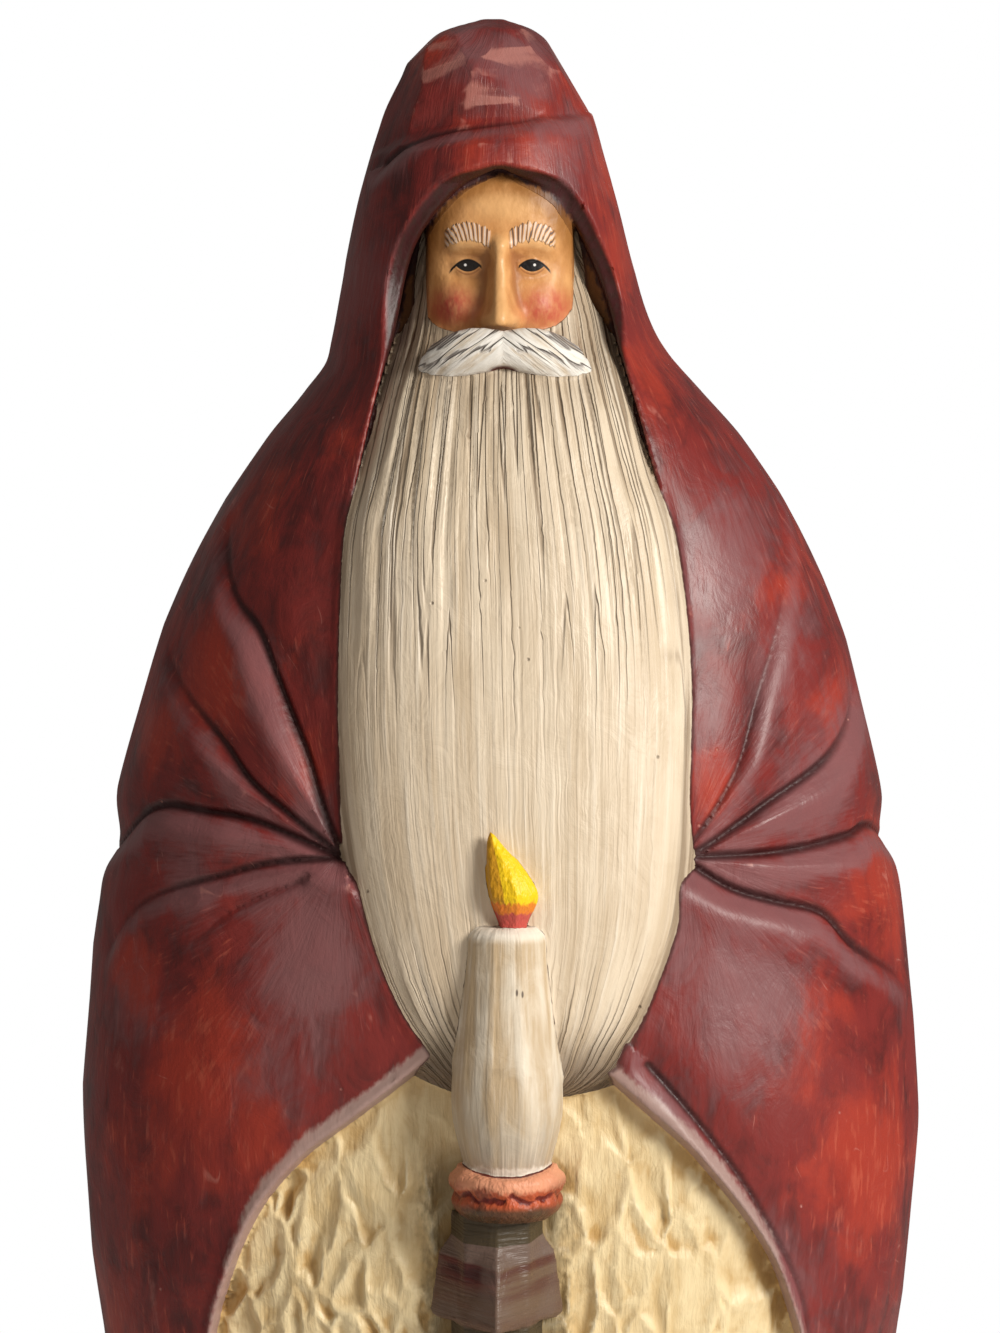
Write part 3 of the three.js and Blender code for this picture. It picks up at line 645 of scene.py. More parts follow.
def face_forward(x, z):
    """How far forward the face stands, from its carved planes: brow, eyes, nose and cheeks."""
    u = np.abs(x - FACE_MIDDLE)
    bow = np.sqrt(np.clip(1 - (u / (FACE_HALF_WIDTH + 0.2)) ** 2.4, 0, 1))
    crown = 1 - 0.45 * smooth_step(BROW + 3, FACE_TOP, z) ** 2
    forward = FACE_SIDE + (FACE_FRONT - FACE_SIDE) * bow * crown
    forward = forward + 0.9 * bump(z - (BROW + 0.6), 1.3) * smooth_step(7.8, 5.5, u)
    socket = bump(u - EYE_APART, 2.7) * bump(z - EYE_LEVEL, 1.8)
    forward = forward - 1.1 * socket * smooth_step(0.9, 2.2, u)
    lid = np.clip(1 - ((u - EYE_APART) / 2.1) ** 2 - ((z - EYE_LEVEL) / 1.25) ** 2, 0, 1)
    forward = forward + 0.75 * np.sqrt(lid) * 0.8
    forward = forward + 0.9 * bump(u - 5.4, 2.3) * bump(z - (NOSE_BASE + 2.4), 2.2)
    down = np.clip((BROW + 1.2 - z) / (THIRD + 0.4), 0, 1)
    half = 1.25 + 1.15 * down**1.4
    rise = (1.2 + (NOSE_TIP - 1.2) * down**1.15) * smooth_step(NOSE_BASE - 0.9, NOSE_BASE + 0.5, z)
    ridge = rise * smooth_step(BROW + 2.6, BROW, z)
    forward = forward + ridge * smooth_step(1.25, 0.15, u / half)
    wing = bump(u - 2.1, 0.9) * bump(z - (NOSE_BASE + 1.0), 1.2)
    tip = bump(u, 2.1) * bump(z - (NOSE_BASE + 1.5), 2.2)
    forward = forward + 1.3 * wing + 1.2 * tip
    return forward - 9 * np.maximum(u - FACE_HALF_WIDTH, 0)


def face(x, y, z):
    """The face, carved from the front."""
    step = 0.2
    forward = face_forward(x, z)
    tilt_x = (face_forward(x + step, z) - face_forward(x - step, z)) / (2 * step)
    tilt_z = (face_forward(x, z + step) - face_forward(x, z - step)) / (2 * step)
    field = (-y - forward) / np.sqrt(1 + tilt_x**2 + tilt_z**2)
    return np.maximum(np.maximum(field, z - FACE_TOP), np.maximum(FACE_CHIN - z, y + 6))


def moustache_side(points, x, y, z):
    """One side of the moustache, swept along its line and thinning to its tip."""
    line = spline(points, 8)
    stretch = MOUSTACHE_HEIGHT / MOUSTACHE_THICKNESS
    best = np.full(np.broadcast(x, y, z).shape, 9.0, np.float32)
    shares = np.linspace(0, 1, len(line))
    forward = MOUSTACHE_FRONT + (MOUSTACHE_TIP - MOUSTACHE_FRONT) * shares**2
    swell = 0.5 + 0.62 * np.sin(math.pi * np.clip(0.16 + 0.66 * shares, 0, 1))
    radius = MOUSTACHE_HEIGHT * swell * np.clip(1.35 - 1.0 * shares**3, 0.3, 1)
    for i in range(len(line) - 1):
        start = np.array([line[i][0], -forward[i] * stretch, line[i][1]])
        end = np.array([line[i + 1][0], -forward[i + 1] * stretch, line[i + 1][1]])
        along = end - start
        dx, dy, dz = x - start[0], y * stretch - start[1], z - start[2]
        share = np.clip((dx * along[0] + dy * along[1] + dz * along[2]) / (along @ along), 0, 1)
        gx, gy, gz = dx - share * along[0], dy - share * along[1], dz - share * along[2]
        size = radius[i] + (radius[i + 1] - radius[i]) * share
        best = np.minimum(best, np.sqrt(gx * gx + gy * gy + gz * gz) - size)
    return best * 0.85


def moustache(x, y, z):
    left = moustache_side(MOUSTACHE_LEFT, x, y, z)
    return np.minimum(left, moustache_side(MOUSTACHE_RIGHT, x, y, z))


def flat_sided(dx, dy, radius, sides, phase, lean):
    """Distance to an upright form with so many flat sides about its axis."""
    field = np.full(np.broadcast(dx, dy).shape, -1e3, np.float32)
    for side in range(sides):
        angle = 2 * math.pi * (side + 0.5) / sides + phase
        field = np.maximum(field, dx * math.sin(angle) - dy * math.cos(angle))
    return (field - radius * math.cos(math.pi / sides)) / np.sqrt(1 + lean * lean)


def candle(x, y, z):
    dx, dy = x - CANDLE_AXIS[0], y - CANDLE_AXIS[1]
    lean = slope_of(candle_radius, z)
    field = flat_sided(dx, dy, candle_radius(z) + 0.12, CANDLE_SIDES, math.pi / CANDLE_SIDES, lean)
    return smooth_max(field, np.maximum(z - CANDLE[-1][0], CANDLE[0][0] - z), 0.5)


def flame(x, y, z):
    dx, dy = x - flame_middle(z), (y + FLAME_FORWARD) / FLAME_FLATNESS
    radius = flame_radius(z)
    lean = slope_of(flame_radius, z)
    field = flat_sided(dx, dy, radius + 0.1, 6, 0.12, lean) * 0.85
    return np.maximum(field, np.maximum(z - FLAME_RADIUS[-1][0], FLAME_RADIUS[0][0] - z))


def cup_cut(x, y, z):
    """The ragged cut round the drip cup, 1 along its middle."""
    angle = np.arctan2(x - CANDLE_AXIS[0], CANDLE_AXIS[1] - y)
    wander = 0.3 * np.sin(7 * angle + 1.2) + 0.22 * np.sin(13 * angle) + 0.12 * np.sin(23 * angle)
    return np.clip(1 - np.abs(z - 83.5 - wander + 0.3 * np.cos(angle)) / 1.0, 0, 1)


def cup(x, y, z):
    dx, dy = x - CANDLE_AXIS[0], y - CANDLE_AXIS[1]
    field = flat_sided(dx, dy, cup_radius(z), 12, 0.0, slope_of(cup_radius, z))
    field = field + 0.75 * cup_cut(x, y, z)
    lip = CUP[-1][0] - 0.5 + 1.5 * (dx / CUP[2][1]) ** 2
    return smooth_max(field, np.maximum(z - lip, CUP[0][0] - z), 0.4)


def block_profile():
    """The blocks' radius from the foot of the stack to its top, as heights and radii."""
    knots = []
    for i in range(BLOCK_COUNT):
        top = BLOCK_TOP - BLOCK_PITCH * i
        foot = 0.0 if i == BLOCK_COUNT - 1 else top - BLOCK_HEIGHT
        knots += [
            (top + 0.01, 0.0), (top, NECK_RADIUS), (top - CHAMFER, BLOCK_HALF_TOP),
            (foot + 0.8, BLOCK_HALF_FOOT), (foot, BLOCK_HALF_FOOT - 0.6), (foot - 0.01, 0.0),
        ]
    heights, radii = np.array(sorted(knots)).T
    return heights, radii


BLOCK_PROFILE = block_profile()


def candlestick(x, y, z):
    """A round neck through square blocks that each turn a corner to the front."""
    dx, dy = x - STAND_AXIS[0], y - STAND_AXIS[1]
    neck = flat_sided(dx, dy, NECK_RADIUS, 8, 0.0, 0.0)
    level = z + BLOCK_LEAN * np.maximum(-dy, 0)
    radius = np.interp(level, *BLOCK_PROFILE).astype(np.float32)
    square = flat_sided(dx, dy, radius, 4, 0.0, 0.0)
    ends = np.maximum(z - STAND_TOP, BASE_HEIGHT - 2 - z)
    return np.maximum(smooth_min(neck, square, 0.3), ends)


def base(x, y, z):
    depth = np.where(y < 0, BASE_FRONT, BASE_BACK)
    field = rounded_column(x, y, BASE_HALF, depth, BASE_POWER)
    bevel = field + z - (BASE_HEIGHT - BASE_BEVEL)
    return np.maximum(np.maximum(field, z - BASE_HEIGHT), np.maximum(bevel, -z))


# Each part beside the cloak: its name, its field, the low and high corner of a box that leaves
# half a block of room round it, and the fillet of paint and wood where it joins.
PARTS = [
    ("hair", hair, (-16, -18, 176), (16, 6, 214), 0.3),
    ("beard", beard, (-26, -42, 90), (26, -8, 199), 0.25),
    ("skin", face, (-11, -26, 183), (11, 0, 214), 0.25),
    ("moustache", moustache, (-14, -28, 181), (14, -14, 193), 0.25),
    ("candle", candle, (-8, -46, 83), (10, -28, 119), 0.35),
    ("flame", flame, (-5, -45, 114), (7, -33, 131), 0.15),
    ("cup", cup, (-9, -47, 78), (10, -27, 88), 0.2),
    ("stand", candlestick, (-11, -45, 0), (10, -22, 83), 0.3),
    ("base", base, (-51, -46, -3), (51, 42, 8), 0.4),
]


def touching(low, high, x, y, z):
    """The items of the arrays that reach into a box."""
    near = np.ones(len(x), bool)
    for values, a, b in zip((x, y, z), low, high):
        flat = values.reshape(len(values), -1)
        near &= (flat.max(1) > a) & (flat.min(1) < b)
    return np.flatnonzero(near)


def carving(x, y, z):
    """The whole figure as one field: the cloak, then each part joined to it."""
    field = cloak(x, y, z)
    for _, shape, low, high, fillet in PARTS:
        near = touching(low, high, x, y, z)
        if len(near):
            here = shape(x[near], y[near], z[near])
            field[near] = smooth_min(field[near], here, fillet)
    return field


# The field cut into blocks and turned into a mesh.

def block_axes(corners, low):
    """The points of each block, as three arrays that spread over a block together."""
    step = VOXEL * np.arange(BLOCK, dtype=np.float32)
    axes = []
    for axis in range(3):
        start = (low[axis] + VOXEL * BLOCK * corners[:, axis]).astype(np.float32)
        shape = [len(corners), 1, 1, 1]
        shape[axis + 1] = BLOCK
        axes.append((start[:, None] + step).reshape(shape))
    return axes


def carved_points():
    """Points and faces of the carving's surface, in millimetres."""
    low = np.array([-57.0, -48.0, -2.5])
    high = np.array([57.0, 43.0, 232.5])
    counts = np.ceil((high - low) / (VOXEL * BLOCK)).astype(int)
    corners = np.stack(np.meshgrid(*[np.arange(n) for n in counts], indexing="ij"), -1).reshape(-1, 3)
    size = VOXEL * BLOCK
    middles = (low + size * (corners + 0.5)).astype(np.float32)
    coarse = np.empty(len(corners), np.float32)
    for start in range(0, len(corners), 40000):
        part = slice(start, start + 40000)
        x, y, z = (middles[part, axis][:, None, None, None] for axis in range(3))
        coarse[part] = carving(x, y, z).ravel()
    near = np.flatnonzero(np.abs(coarse) < size * 0.87 * 1.35 + 1.2)
    volume = np.full(counts * BLOCK, BAND, np.float32)
    tiles = volume.reshape(counts[0], BLOCK, counts[1], BLOCK, counts[2], BLOCK)
    inner = corners[coarse < 0]
    tiles[inner[:, 0], :, inner[:, 1], :, inner[:, 2], :] = -BAND
    for start in range(0, len(near), 1200):
        chosen = corners[near[start : start + 1200]]
        x, y, z = block_axes(chosen, low)
        field = np.clip(carving(x, y, z), -BAND, BAND)
        tiles[chosen[:, 0], :, chosen[:, 1], :, chosen[:, 2], :] = field
    grid = openvdb.FloatGrid(BAND)
    grid.copyFromArray(volume, ijk=(0, 0, 0), tolerance=0.0)
    points, triangles, quads = grid.convertToPolygons(isovalue=0.0, adaptivity=0.0)
    return points.astype(np.float64) * VOXEL + low, quads


def mesh_from(name, points, quads):
    """A mesh of those quads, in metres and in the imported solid's frame."""
    mesh = bpy.data.meshes.new(name)
    mesh.vertices.add(len(points))
    placed = (points + np.array([0, DEPTH_SHIFT, 0])) * MM
    mesh.vertices.foreach_set("co", placed.ravel().astype(np.float32))
    mesh.loops.add(quads.size)
    mesh.loops.foreach_set("vertex_index", quads.ravel().astype(np.int32))
    mesh.polygons.add(len(quads))
    mesh.polygons.foreach_set("loop_start", np.arange(0, quads.size, 4, dtype=np.int32))
    mesh.update(calc_edges=True)
    return mesh


def points_of(mesh):
    """The mesh's points back in the carving's own millimetres."""
    points = np.empty(len(mesh.vertices) * 3, np.float32)
    mesh.vertices.foreach_get("co", points)
    return points.reshape(-1, 3) / MM - np.array([0, DEPTH_SHIFT, 0])


# What the relief and the paint follow, kept on the mesh's points.

def soft_spots(spots, x, z):
    """How strongly a place lies in any of the soft round spots: across, height, size, strength."""
    total = np.zeros(len(x), np.float32)
    for across, height, size, strength in spots:
        near = ((x - across) ** 2 + ((z - height) / SPOT_STRETCH) ** 2) / size**2
        total = np.maximum(total, strength * np.exp(-near))
    return total


def keep_vectors(mesh, **columns):
    """Keeps named vectors on the mesh's points, each from three columns of numbers."""
    for name, (a, b, c) in columns.items():
        layer = mesh.attributes.new(name, "FLOAT_VECTOR", "POINT")
        values = np.stack([np.broadcast_to(v, len(mesh.vertices)) for v in (a, b, c)], 1)
        layer.data.foreach_set("vector", np.ascontiguousarray(values, np.float32).ravel())


def parts_at(x, y, z):
    """The field of the cloak and of each part at every point, far ones held at a plain 9."""
    fields = {"cloak": cloak(x, y, z)}
    for name, shape, low, high, _ in PARTS:
        fields[name] = np.full(len(x), 9.0, np.float32)
        near = touching(low, high, x, y, z)
        fields[name][near] = shape(x[near], y[near], z[near])
    return fields


def margins_of(fields):
    """How far each part's surface leads over the next one: above 0 where that part shows."""
    names = list(fields)
    table = np.stack([fields[name] for name in names])
    order = np.sort(table, axis=0)
    return {
        name: np.where(table[i] <= order[0], order[1] - table[i], order[0] - table[i])
        for i, name in enumerate(names)
    }


def comb_lines(x, y, z):
    """Across and along the beard's strands, which follow its two edges."""
    left, right = opening_left(z), opening_right(z)
    half = np.maximum((right - left) / 2, 3.0)
    share = np.clip((x - (left + right) / 2) / half, -1.4, 1.4)
    return share * COMB_WIDTH


def wrap_lines(x, y, z):
    """Millimetres round the figure from its front."""
    return np.arctan2(x, -y - WRAP_MIDDLE) * WRAP_RADIUS


def follow_carving(mesh):
    """Keeps on a mesh what the cut relief follows."""
    x, y, z = (points_of(mesh)[:, axis] for axis in range(3))
    margins = margins_of(parts_at(x, y, z))
    skin = cloak_skin(x, y, z)
    on_beard = smooth_step(0, 0.5, np.maximum(margins["beard"], margins["hair"]))
    upper = smooth_step(146, 170, z + 7 * np.sin(2.1 * comb_lines(x, y, z)))
    lower = smooth_step(117, 101, z + 4 * np.sin(1.7 * comb_lines(x, y, z)))
    strands = on_beard * np.maximum(STRAND_REST, np.maximum(upper, 0.75 * lower))
    inside = np.minimum(-(skin + ROBE_INSET - 0.4), -arch(x, z) - 0.6)
    on_robe = smooth_step(0, 0.4, np.minimum(inside, margins["cloak"])) * (y < 0)
    calm = 1 - 0.6 * smooth_step(76, 94, z)
    on_cloak = smooth_step(0, 0.5, np.minimum(margins["cloak"], skin + 2.2))
    folded = fold_relief(x, y, z)[1]
    rim = smooth_step(0.2, 1.4, opening(x, z)) * smooth_step(0.2, 1.4, arch(x, z))
    facets = on_cloak * (1 - 0.8 * folded) * np.where(y < 0, rim, 1) * smooth_step(5.5, 9, z)
    facets = facets * smooth_step(CAP_FOOT_BACK + 2, CAP_FOOT_BACK - 5, z)
    keep_vectors(
        mesh,
        comb=(comb_lines(x, y, z), z, 0),
        wrap=(wrap_lines(x, y, z), z, 0),
        relief=(strands, on_robe * calm, facets),
    )


# The cut relief: combed strands, gouge scoops and knife facets.

class Wiring:
    """Adds nodes to a tree, joined to the values or sockets that are given."""

    def __init__(self, tree):
        self.tree = tree

    def node(self, kind, inputs=None, **settings):
        made = self.tree.nodes.new(kind)
        for name, value in settings.items():
            setattr(made, name, value)
        for key, value in (inputs or {}).items():
            self.give(made.inputs[key], value)
        return made

    def give(self, socket, value):
        if isinstance(value, bpy.types.NodeSocket):
            self.tree.links.new(value, socket)
        elif value is not None:
            socket.default_value = value

    def math(self, operation, *values, clamp=False):
        inputs = dict(enumerate(values))
        return self.node("ShaderNodeMath", inputs, operation=operation, use_clamp=clamp).outputs[0]

    def vector(self, operation, *values):
        made = self.node("ShaderNodeVectorMath", dict(enumerate(values)), operation=operation)
        return made.outputs[0]

    def scaled(self, vector, x, y, z=1.0):
        return self.vector("MULTIPLY", vector, (x, y, z))

    def join(self, x, y, z=0.0):
        return self.node("ShaderNodeCombineXYZ", {0: x, 1: y, 2: z}).outputs[0]

    def split(self, vector):
        return tuple(self.node("ShaderNodeSeparateXYZ", {0: vector}).outputs)

    def step(self, value, low, high, start=0.0, end=1.0):
        """A soft step of a value, from start at low to end at high."""
        inputs = {"Value": value, "From Min": low, "From Max": high, "To Min": start, "To Max": end}
        kind = "SMOOTHSTEP"
        return self.node("ShaderNodeMapRange", inputs, interpolation_type=kind).outputs[0]

    def noise(self, vector, scale=1.0, detail=2.0, roughness=0.5, distortion=0.0):
        inputs = {
            "Vector": vector, "Scale": scale, "Detail": detail, "Roughness": roughness,
            "Distortion": distortion,
        }
        return self.node("ShaderNodeTexNoise", inputs).outputs[0]

    def mix(self, share, a, b, blend="MIX"):
        made = self.node("ShaderNodeMix", data_type="RGBA", blend_type=blend)
        for key, value in ((0, share), (6, a), (7, b)):
            self.give(made.inputs[key], value)
        return made.outputs[2]


def add_inputs(tree, items):
    """Named inputs of a node tree: a name, a kind of socket and a default."""
    for name, kind, value in items:
        socket = tree.interface.new_socket(name, in_out="INPUT", socket_type="NodeSocket" + kind)
        if value is not None:
            socket.default_value = value


def relief_tree():
    """Geometry nodes that press strands, scoops and facets into the carving's skin."""
    tree = bpy.data.node_groups.new("Cut Relief", "GeometryNodeTree")
    tree.interface.new_socket("Geometry", in_out="INPUT", socket_type="NodeSocketGeometry")
    add_inputs(tree, [
        ("Strand Depth", "Float", 0.4), ("Strand Spacing", "Float", 1.5),
        ("Scoop Depth", "Float", 1.2), ("Scoop Width", "Float", 5.0),
        ("Scoop Length", "Float", 9.0), ("Facet Depth", "Float", 0.4),
        ("Facet Size", "Float", 9.0), ("Seed", "Float", 3.0), ("Material", "Material", None),
    ])
    tree.interface.new_socket("Geometry", in_out="OUTPUT", socket_type="NodeSocketGeometry")
    w = Wiring(tree)
    given = w.node("NodeGroupInput").outputs

    def named(name):
        made = w.node("GeometryNodeInputNamedAttribute", {"Name": name}, data_type="FLOAT_VECTOR")
        return made.outputs["Attribute"]

    on_strands, on_scoops, on_facets = w.split(named("relief"))
    seed = given["Seed"]

    # Strands: grooves where a noise that is drawn out along the comb crosses its middle.
    across, along, _ = w.split(named("comb"))
    across = w.math("DIVIDE", across, given["Strand Spacing"])
    swerve = w.noise(w.join(w.math("MULTIPLY", across, 0.25), w.math("MULTIPLY", along, 0.06), seed))
    across = w.math("ADD", across, w.math("MULTIPLY", swerve, 1.4))
    lines = w.join(w.math("MULTIPLY", across, 0.62), w.math("MULTIPLY", along, 0.022), seed)
    broad = w.noise(lines, detail=1.0)
    groove = w.step(w.math("ABSOLUTE", w.math("SUBTRACT", broad, 0.5)), 0.13, 0.0)
    swell = w.math("MULTIPLY", w.math("SUBTRACT", broad, 0.6), 1.2)
    strands = w.math("SUBTRACT", w.math("MULTIPLY", groove, 0.7), swell)
    strands = w.math("MULTIPLY", w.math("MULTIPLY", strands, given["Strand Depth"]), on_strands)

    # Scoops: long hollows side by side, deeper towards the foot of each, with thin ridges between.
    around, height, _ = w.split(named("wrap"))
    around = w.math("DIVIDE", around, given["Scoop Width"])
    cell = w.join(around, w.math("DIVIDE", height, given["Scoop Length"]), seed)
    warp = w.node("ShaderNodeTexNoise", {"Vector": cell, "Scale": 0.9, "Detail": 2.0}).outputs[1]
    warp = w.vector("SUBTRACT", warp, (0.5, 0.5, 0.5))
    cell = w.vector("ADD", cell, w.scaled(warp, 1.1, 0.9, 0.0))
    walls = w.node("ShaderNodeTexVoronoi", {"Vector": cell, "Scale": 1.0}, feature="DISTANCE_TO_EDGE")
    nearest = w.node("ShaderNodeTexVoronoi", {"Vector": cell, "Scale": 1.0}, feature="F1")
    below = w.split(w.vector("SUBTRACT", cell, nearest.outputs["Position"]))[1]
    own_depth = w.math("ADD", w.split(nearest.outputs["Color"])[0], 0.4)
    inward = w.math("SUBTRACT", 1.0, w.math("MINIMUM", w.math("DIVIDE", walls.outputs[0], 0.34), 1.0))
    hollow = w.math("SUBTRACT", 1.0, w.math("MULTIPLY", inward, inward))
    hollow = w.math("MULTIPLY", hollow, w.math("SUBTRACT", 1.0, w.math("MULTIPLY", below, 0.8)))
    ripple = w.math("MULTIPLY", w.noise(w.scaled(cell, 2.2, 1.4), 1.0, 2.0), 0.3)
    scoops = w.math("ADD", w.math("MULTIPLY", hollow, own_depth), ripple)
    scoops = w.math("MULTIPLY", w.math("MULTIPLY", scoops, given["Scoop Depth"]), on_scoops)

    # Facets: the square of the distance to the nearest of scattered places turns round skin flat.
    place = w.node("GeometryNodeInputPosition").outputs[0]
    place = w.vector("ADD", w.scaled(place, 1000, 1000, 620), w.join(seed, seed, seed))
    share = w.math("DIVIDE", 1.0, given["Facet Size"])
    spread = w.node("ShaderNodeTexVoronoi", {"Vector": place, "Scale": share}, feature="F1").outputs[0]
    rounded = w.math("MULTIPLY", spread, spread)
    facets = w.math("MULTIPLY", w.math("SUBTRACT", 0.75, rounded), given["Facet Depth"])
    facets = w.math("MULTIPLY", w.math("MAXIMUM", facets, 0.0), on_facets)

    sunk = w.math("ADD", w.math("ADD", strands, scoops), facets)
    shift = w.vector("SCALE", w.node("GeometryNodeInputNormal").outputs[0])
    w.give(shift.node.inputs["Scale"], w.math("MULTIPLY", sunk, -MM))
    moved = w.node("GeometryNodeSetPosition", {"Geometry": given["Geometry"], "Offset": shift})
    real = w.node("GeometryNodeRealizeInstances", {0: moved.outputs[0]})
    finish = w.node("GeometryNodeSetMaterial", {0: real.outputs[0], "Material": given["Material"]})
    w.node("NodeGroupOutput", {0: finish.outputs[0]})
    return tree


def cut_relief(piece, sizes, finish):
    """Presses the relief into the piece's mesh and leaves it as a plain mesh."""
    tree = relief_tree()
    nodes = piece.modifiers.new("Cut Relief", "NODES")
    nodes.node_group = tree
    values = {
        "Strand Depth": sizes.strand_depth / MM, "Strand Spacing": sizes.strand_spacing / MM,
        "Scoop Depth": sizes.scoop_depth / MM, "Scoop Width": sizes.scoop_width / MM,
        "Scoop Length": sizes.scoop_length / MM, "Facet Depth": sizes.facet_depth / MM,
        "Facet Size": sizes.facet_size / MM, "Seed": float(sizes.seed), "Material": finish,
    }
    for item in tree.interface.items_tree:
        if item.in_out == "INPUT" and item.name in values:
            nodes[item.identifier] = values[item.name]
    apply_modifiers(piece)


def apply_modifiers(piece):
    """Leaves the piece with the plain mesh that its modifiers give."""
    graph = bpy.context.evaluated_depsgraph_get()
    made = bpy.data.meshes.new_from_object(piece.evaluated_get(graph))
    piece.modifiers.clear()
    old = piece.data
    piece.data = made
    bpy.data.meshes.remove(old)


def thin_out(piece):
    """Takes faces away where the skin is flat, down to the most that a piece may have."""
    thin = piece.modifiers.new("Thin", "DECIMATE")
    thin.ratio = MOST_TRIANGLES / (2 * len(piece.data.polygons))
    apply_modifiers(piece)


# What the coats of paint follow, kept on the finished points.

def neighbour_mean(mesh, values, rounds):
    """Values on the points, each drawn half way to the mean of its neighbours so many times."""
    count = len(mesh.vertices)
    ends = np.empty(len(mesh.edges) * 2, np.int32)
    mesh.edges.foreach_get("vertices", ends)
    a, b = ends.reshape(-1, 2).T
    degree = np.maximum(np.bincount(ends, minlength=count), 1)
    for _ in range(rounds):
        drawn = np.empty_like(values)
        for k in range(values.shape[1]):
            total = np.bincount(a, values[b, k], count) + np.bincount(b, values[a, k], count)
            drawn[:, k] = total / degree
        values = (values + drawn) / 2
    return values


def hollowness(mesh):
    """How far each point lies in a broad hollow and in a fine one, in millimetres."""
    points = points_of(mesh).astype(np.float64)
    normals = np.empty(len(mesh.vertices) * 3, np.float32)
    mesh.vertex_normals.foreach_get("vector", normals)
    normals = normals.reshape(-1, 3)
    fine = ((neighbour_mean(mesh, points, 2) - points) * normals).sum(1)
    broad = ((neighbour_mean(mesh, points, 26) - points) * normals).sum(1)
    return neighbour_mean(mesh, np.stack([broad, fine], 1), 1).T


def gather_lines(x, y, z):
    """Round and out from the nearer elbow, and how much the cloth is gathered there."""
    best = np.full(len(x), 1e6)
    turn = np.zeros(len(x))
    for degrees in GATHERS:
        knot = cloak_point(degrees, GATHER_HEIGHT)
        gap = np.sqrt((x - knot[0]) ** 2 + (y - knot[1]) ** 2 + (z - knot[2]) ** 2)
        angle = np.arctan2(z - knot[2], np.abs(x) - abs(knot[0]) + 1e-6)
        closer = gap < best
        best = np.where(closer, gap, best)
        turn = np.where(closer, angle * GATHER_RADIUS, turn)
    return turn, best, smooth_step(46, 22, best) * (y < 0)


def follow_paint(mesh):
    """Keeps on a mesh what its coats of paint follow."""
    x, y, z = (points_of(mesh)[:, axis] for axis in range(3))
    fields = parts_at(x, y, z)
    hair_field = fields.pop("hair")
    fields["beard"] = np.minimum(fields["beard"], hair_field)
    margins = margins_of(fields)
    skin = cloak_skin(x, y, z)
    inside = np.where(y < 0, -arch(x, z), -9)
    margins["robe"] = np.minimum(np.minimum(-(skin + ROBE_INSET - 0.35), inside), margins["cloak"])
    outside = opening(x, z) + 60 * (y > 0)
    margins["skin"] = np.minimum(margins["skin"], -outside - SKIN_SHORT)
    _, crease, slope, lit = fold_relief(x, y, z)
    broad, fine = hollowness(mesh)
    front = y < 4
    dusty, warm, dark = (
        soft_spots(spots, x, z) * front for spots in (DUST_AND_SHEEN_SPOTS, WARM_SPOTS, PAINTED_SHADE_SPOTS)
    )
    keep_vectors(
        mesh,
        comb=(comb_lines(x, y, z), z, dark),
        wrap=(wrap_lines(x, y, z), z, slope),
        gather=gather_lines(x, y, z),
        coats_a=(margins["beard"], margins["robe"], margins["skin"]),
        coats_b=(margins["moustache"], margins["candle"], margins["flame"]),
        coats_c=(margins["cup"], margins["stand"], margins["base"]),
        borders=(arch(x, z) + 60 * (y > 0), outside, -skin),
        wear=(broad, fine, crease),
        tints=(dusty, warm, lit),
    )


# Shader groups that several coats share.

def shader_group(name, inputs, outputs):
    """An empty shader node group with named inputs and outputs, and the means to wire it."""
    tree = bpy.data.node_groups.new(name, "ShaderNodeTree")
    add_inputs(tree, inputs)
    for output, kind in outputs:
        tree.interface.new_socket(output, in_out="OUTPUT", socket_type="NodeSocket" + kind)
    w = Wiring(tree)
    return w, w.node("NodeGroupInput").outputs, w.node("NodeGroupOutput").inputs


def brush_streaks():
    """Streaks of a loaded brush: a broad and a fine value that run along the lines given."""
    w, given, out = shader_group(
        "Brush Streaks",
        [
            ("Lines", "Vector", None), ("Spacing", "Float", 2.0), ("Length", "Float", 16.0),
            ("Seed", "Float", 0.0),
        ],
        [("Broad", "Float"), ("Fine", "Float")],
    )
    across, along, _ = w.split(given["Lines"])
    u, v = w.math("DIVIDE", across, given["Spacing"]), w.math("DIVIDE", along, given["Length"])
    w.give(out["Broad"], w.noise(w.join(u, v, given["Seed"]), detail=3.0, roughness=0.55, distortion=0.3))
    fine = w.join(w.math("MULTIPLY", u, 4.2), w.math("MULTIPLY", v, 1.8), given["Seed"])
    w.give(out["Fine"], w.noise(fine, detail=2.0, roughness=0.6))
    return w.tree


def hairlines():
    """Thin lines, as a knife point leaves them, where a drawn-out noise crosses its middle."""
    w, given, out = shader_group(
        "Hairlines",
        [
            ("Lines", "Vector", None), ("Spacing", "Float", 1.0), ("Length", "Float", 30.0),
            ("Width", "Float", 0.05), ("Seed", "Float", 0.0),
        ],
        [("Mask", "Float")],
    )
    across, along, _ = w.split(given["Lines"])
    u, v = w.math("DIVIDE", across, given["Spacing"]), w.math("DIVIDE", along, given["Length"])
    value = w.noise(w.join(u, v, given["Seed"]), detail=1.0, roughness=0.4)
    off = w.math("ABSOLUTE", w.math("SUBTRACT", value, 0.5))
    w.give(out["Mask"], w.step(off, given["Width"], 0.0))
    return w.tree


def wash_and_shade():
    """A darker colour laid where a mask is high: a thin wash that stays in hollows and wears off raised
    places, and painted shade where the mask marks shade.
    """
    w, given, out = shader_group(
        "Wash and Shade",
        [
            ("Color", "Color", (1, 1, 1, 1)), ("Wash", "Color", (0.1, 0.05, 0.02, 1)),
            ("Hollow", "Float", 0.0), ("Low", "Float", 0.0), ("High", "Float", 0.2),
            ("Most", "Float", 0.8),
        ],
        [("Color", "Color")],
    )
    share = w.step(given["Hollow"], given["Low"], given["High"], 0.0, given["Most"])
    w.give(out["Color"], w.mix(share, given["Color"], given["Wash"]))
    return w.tree


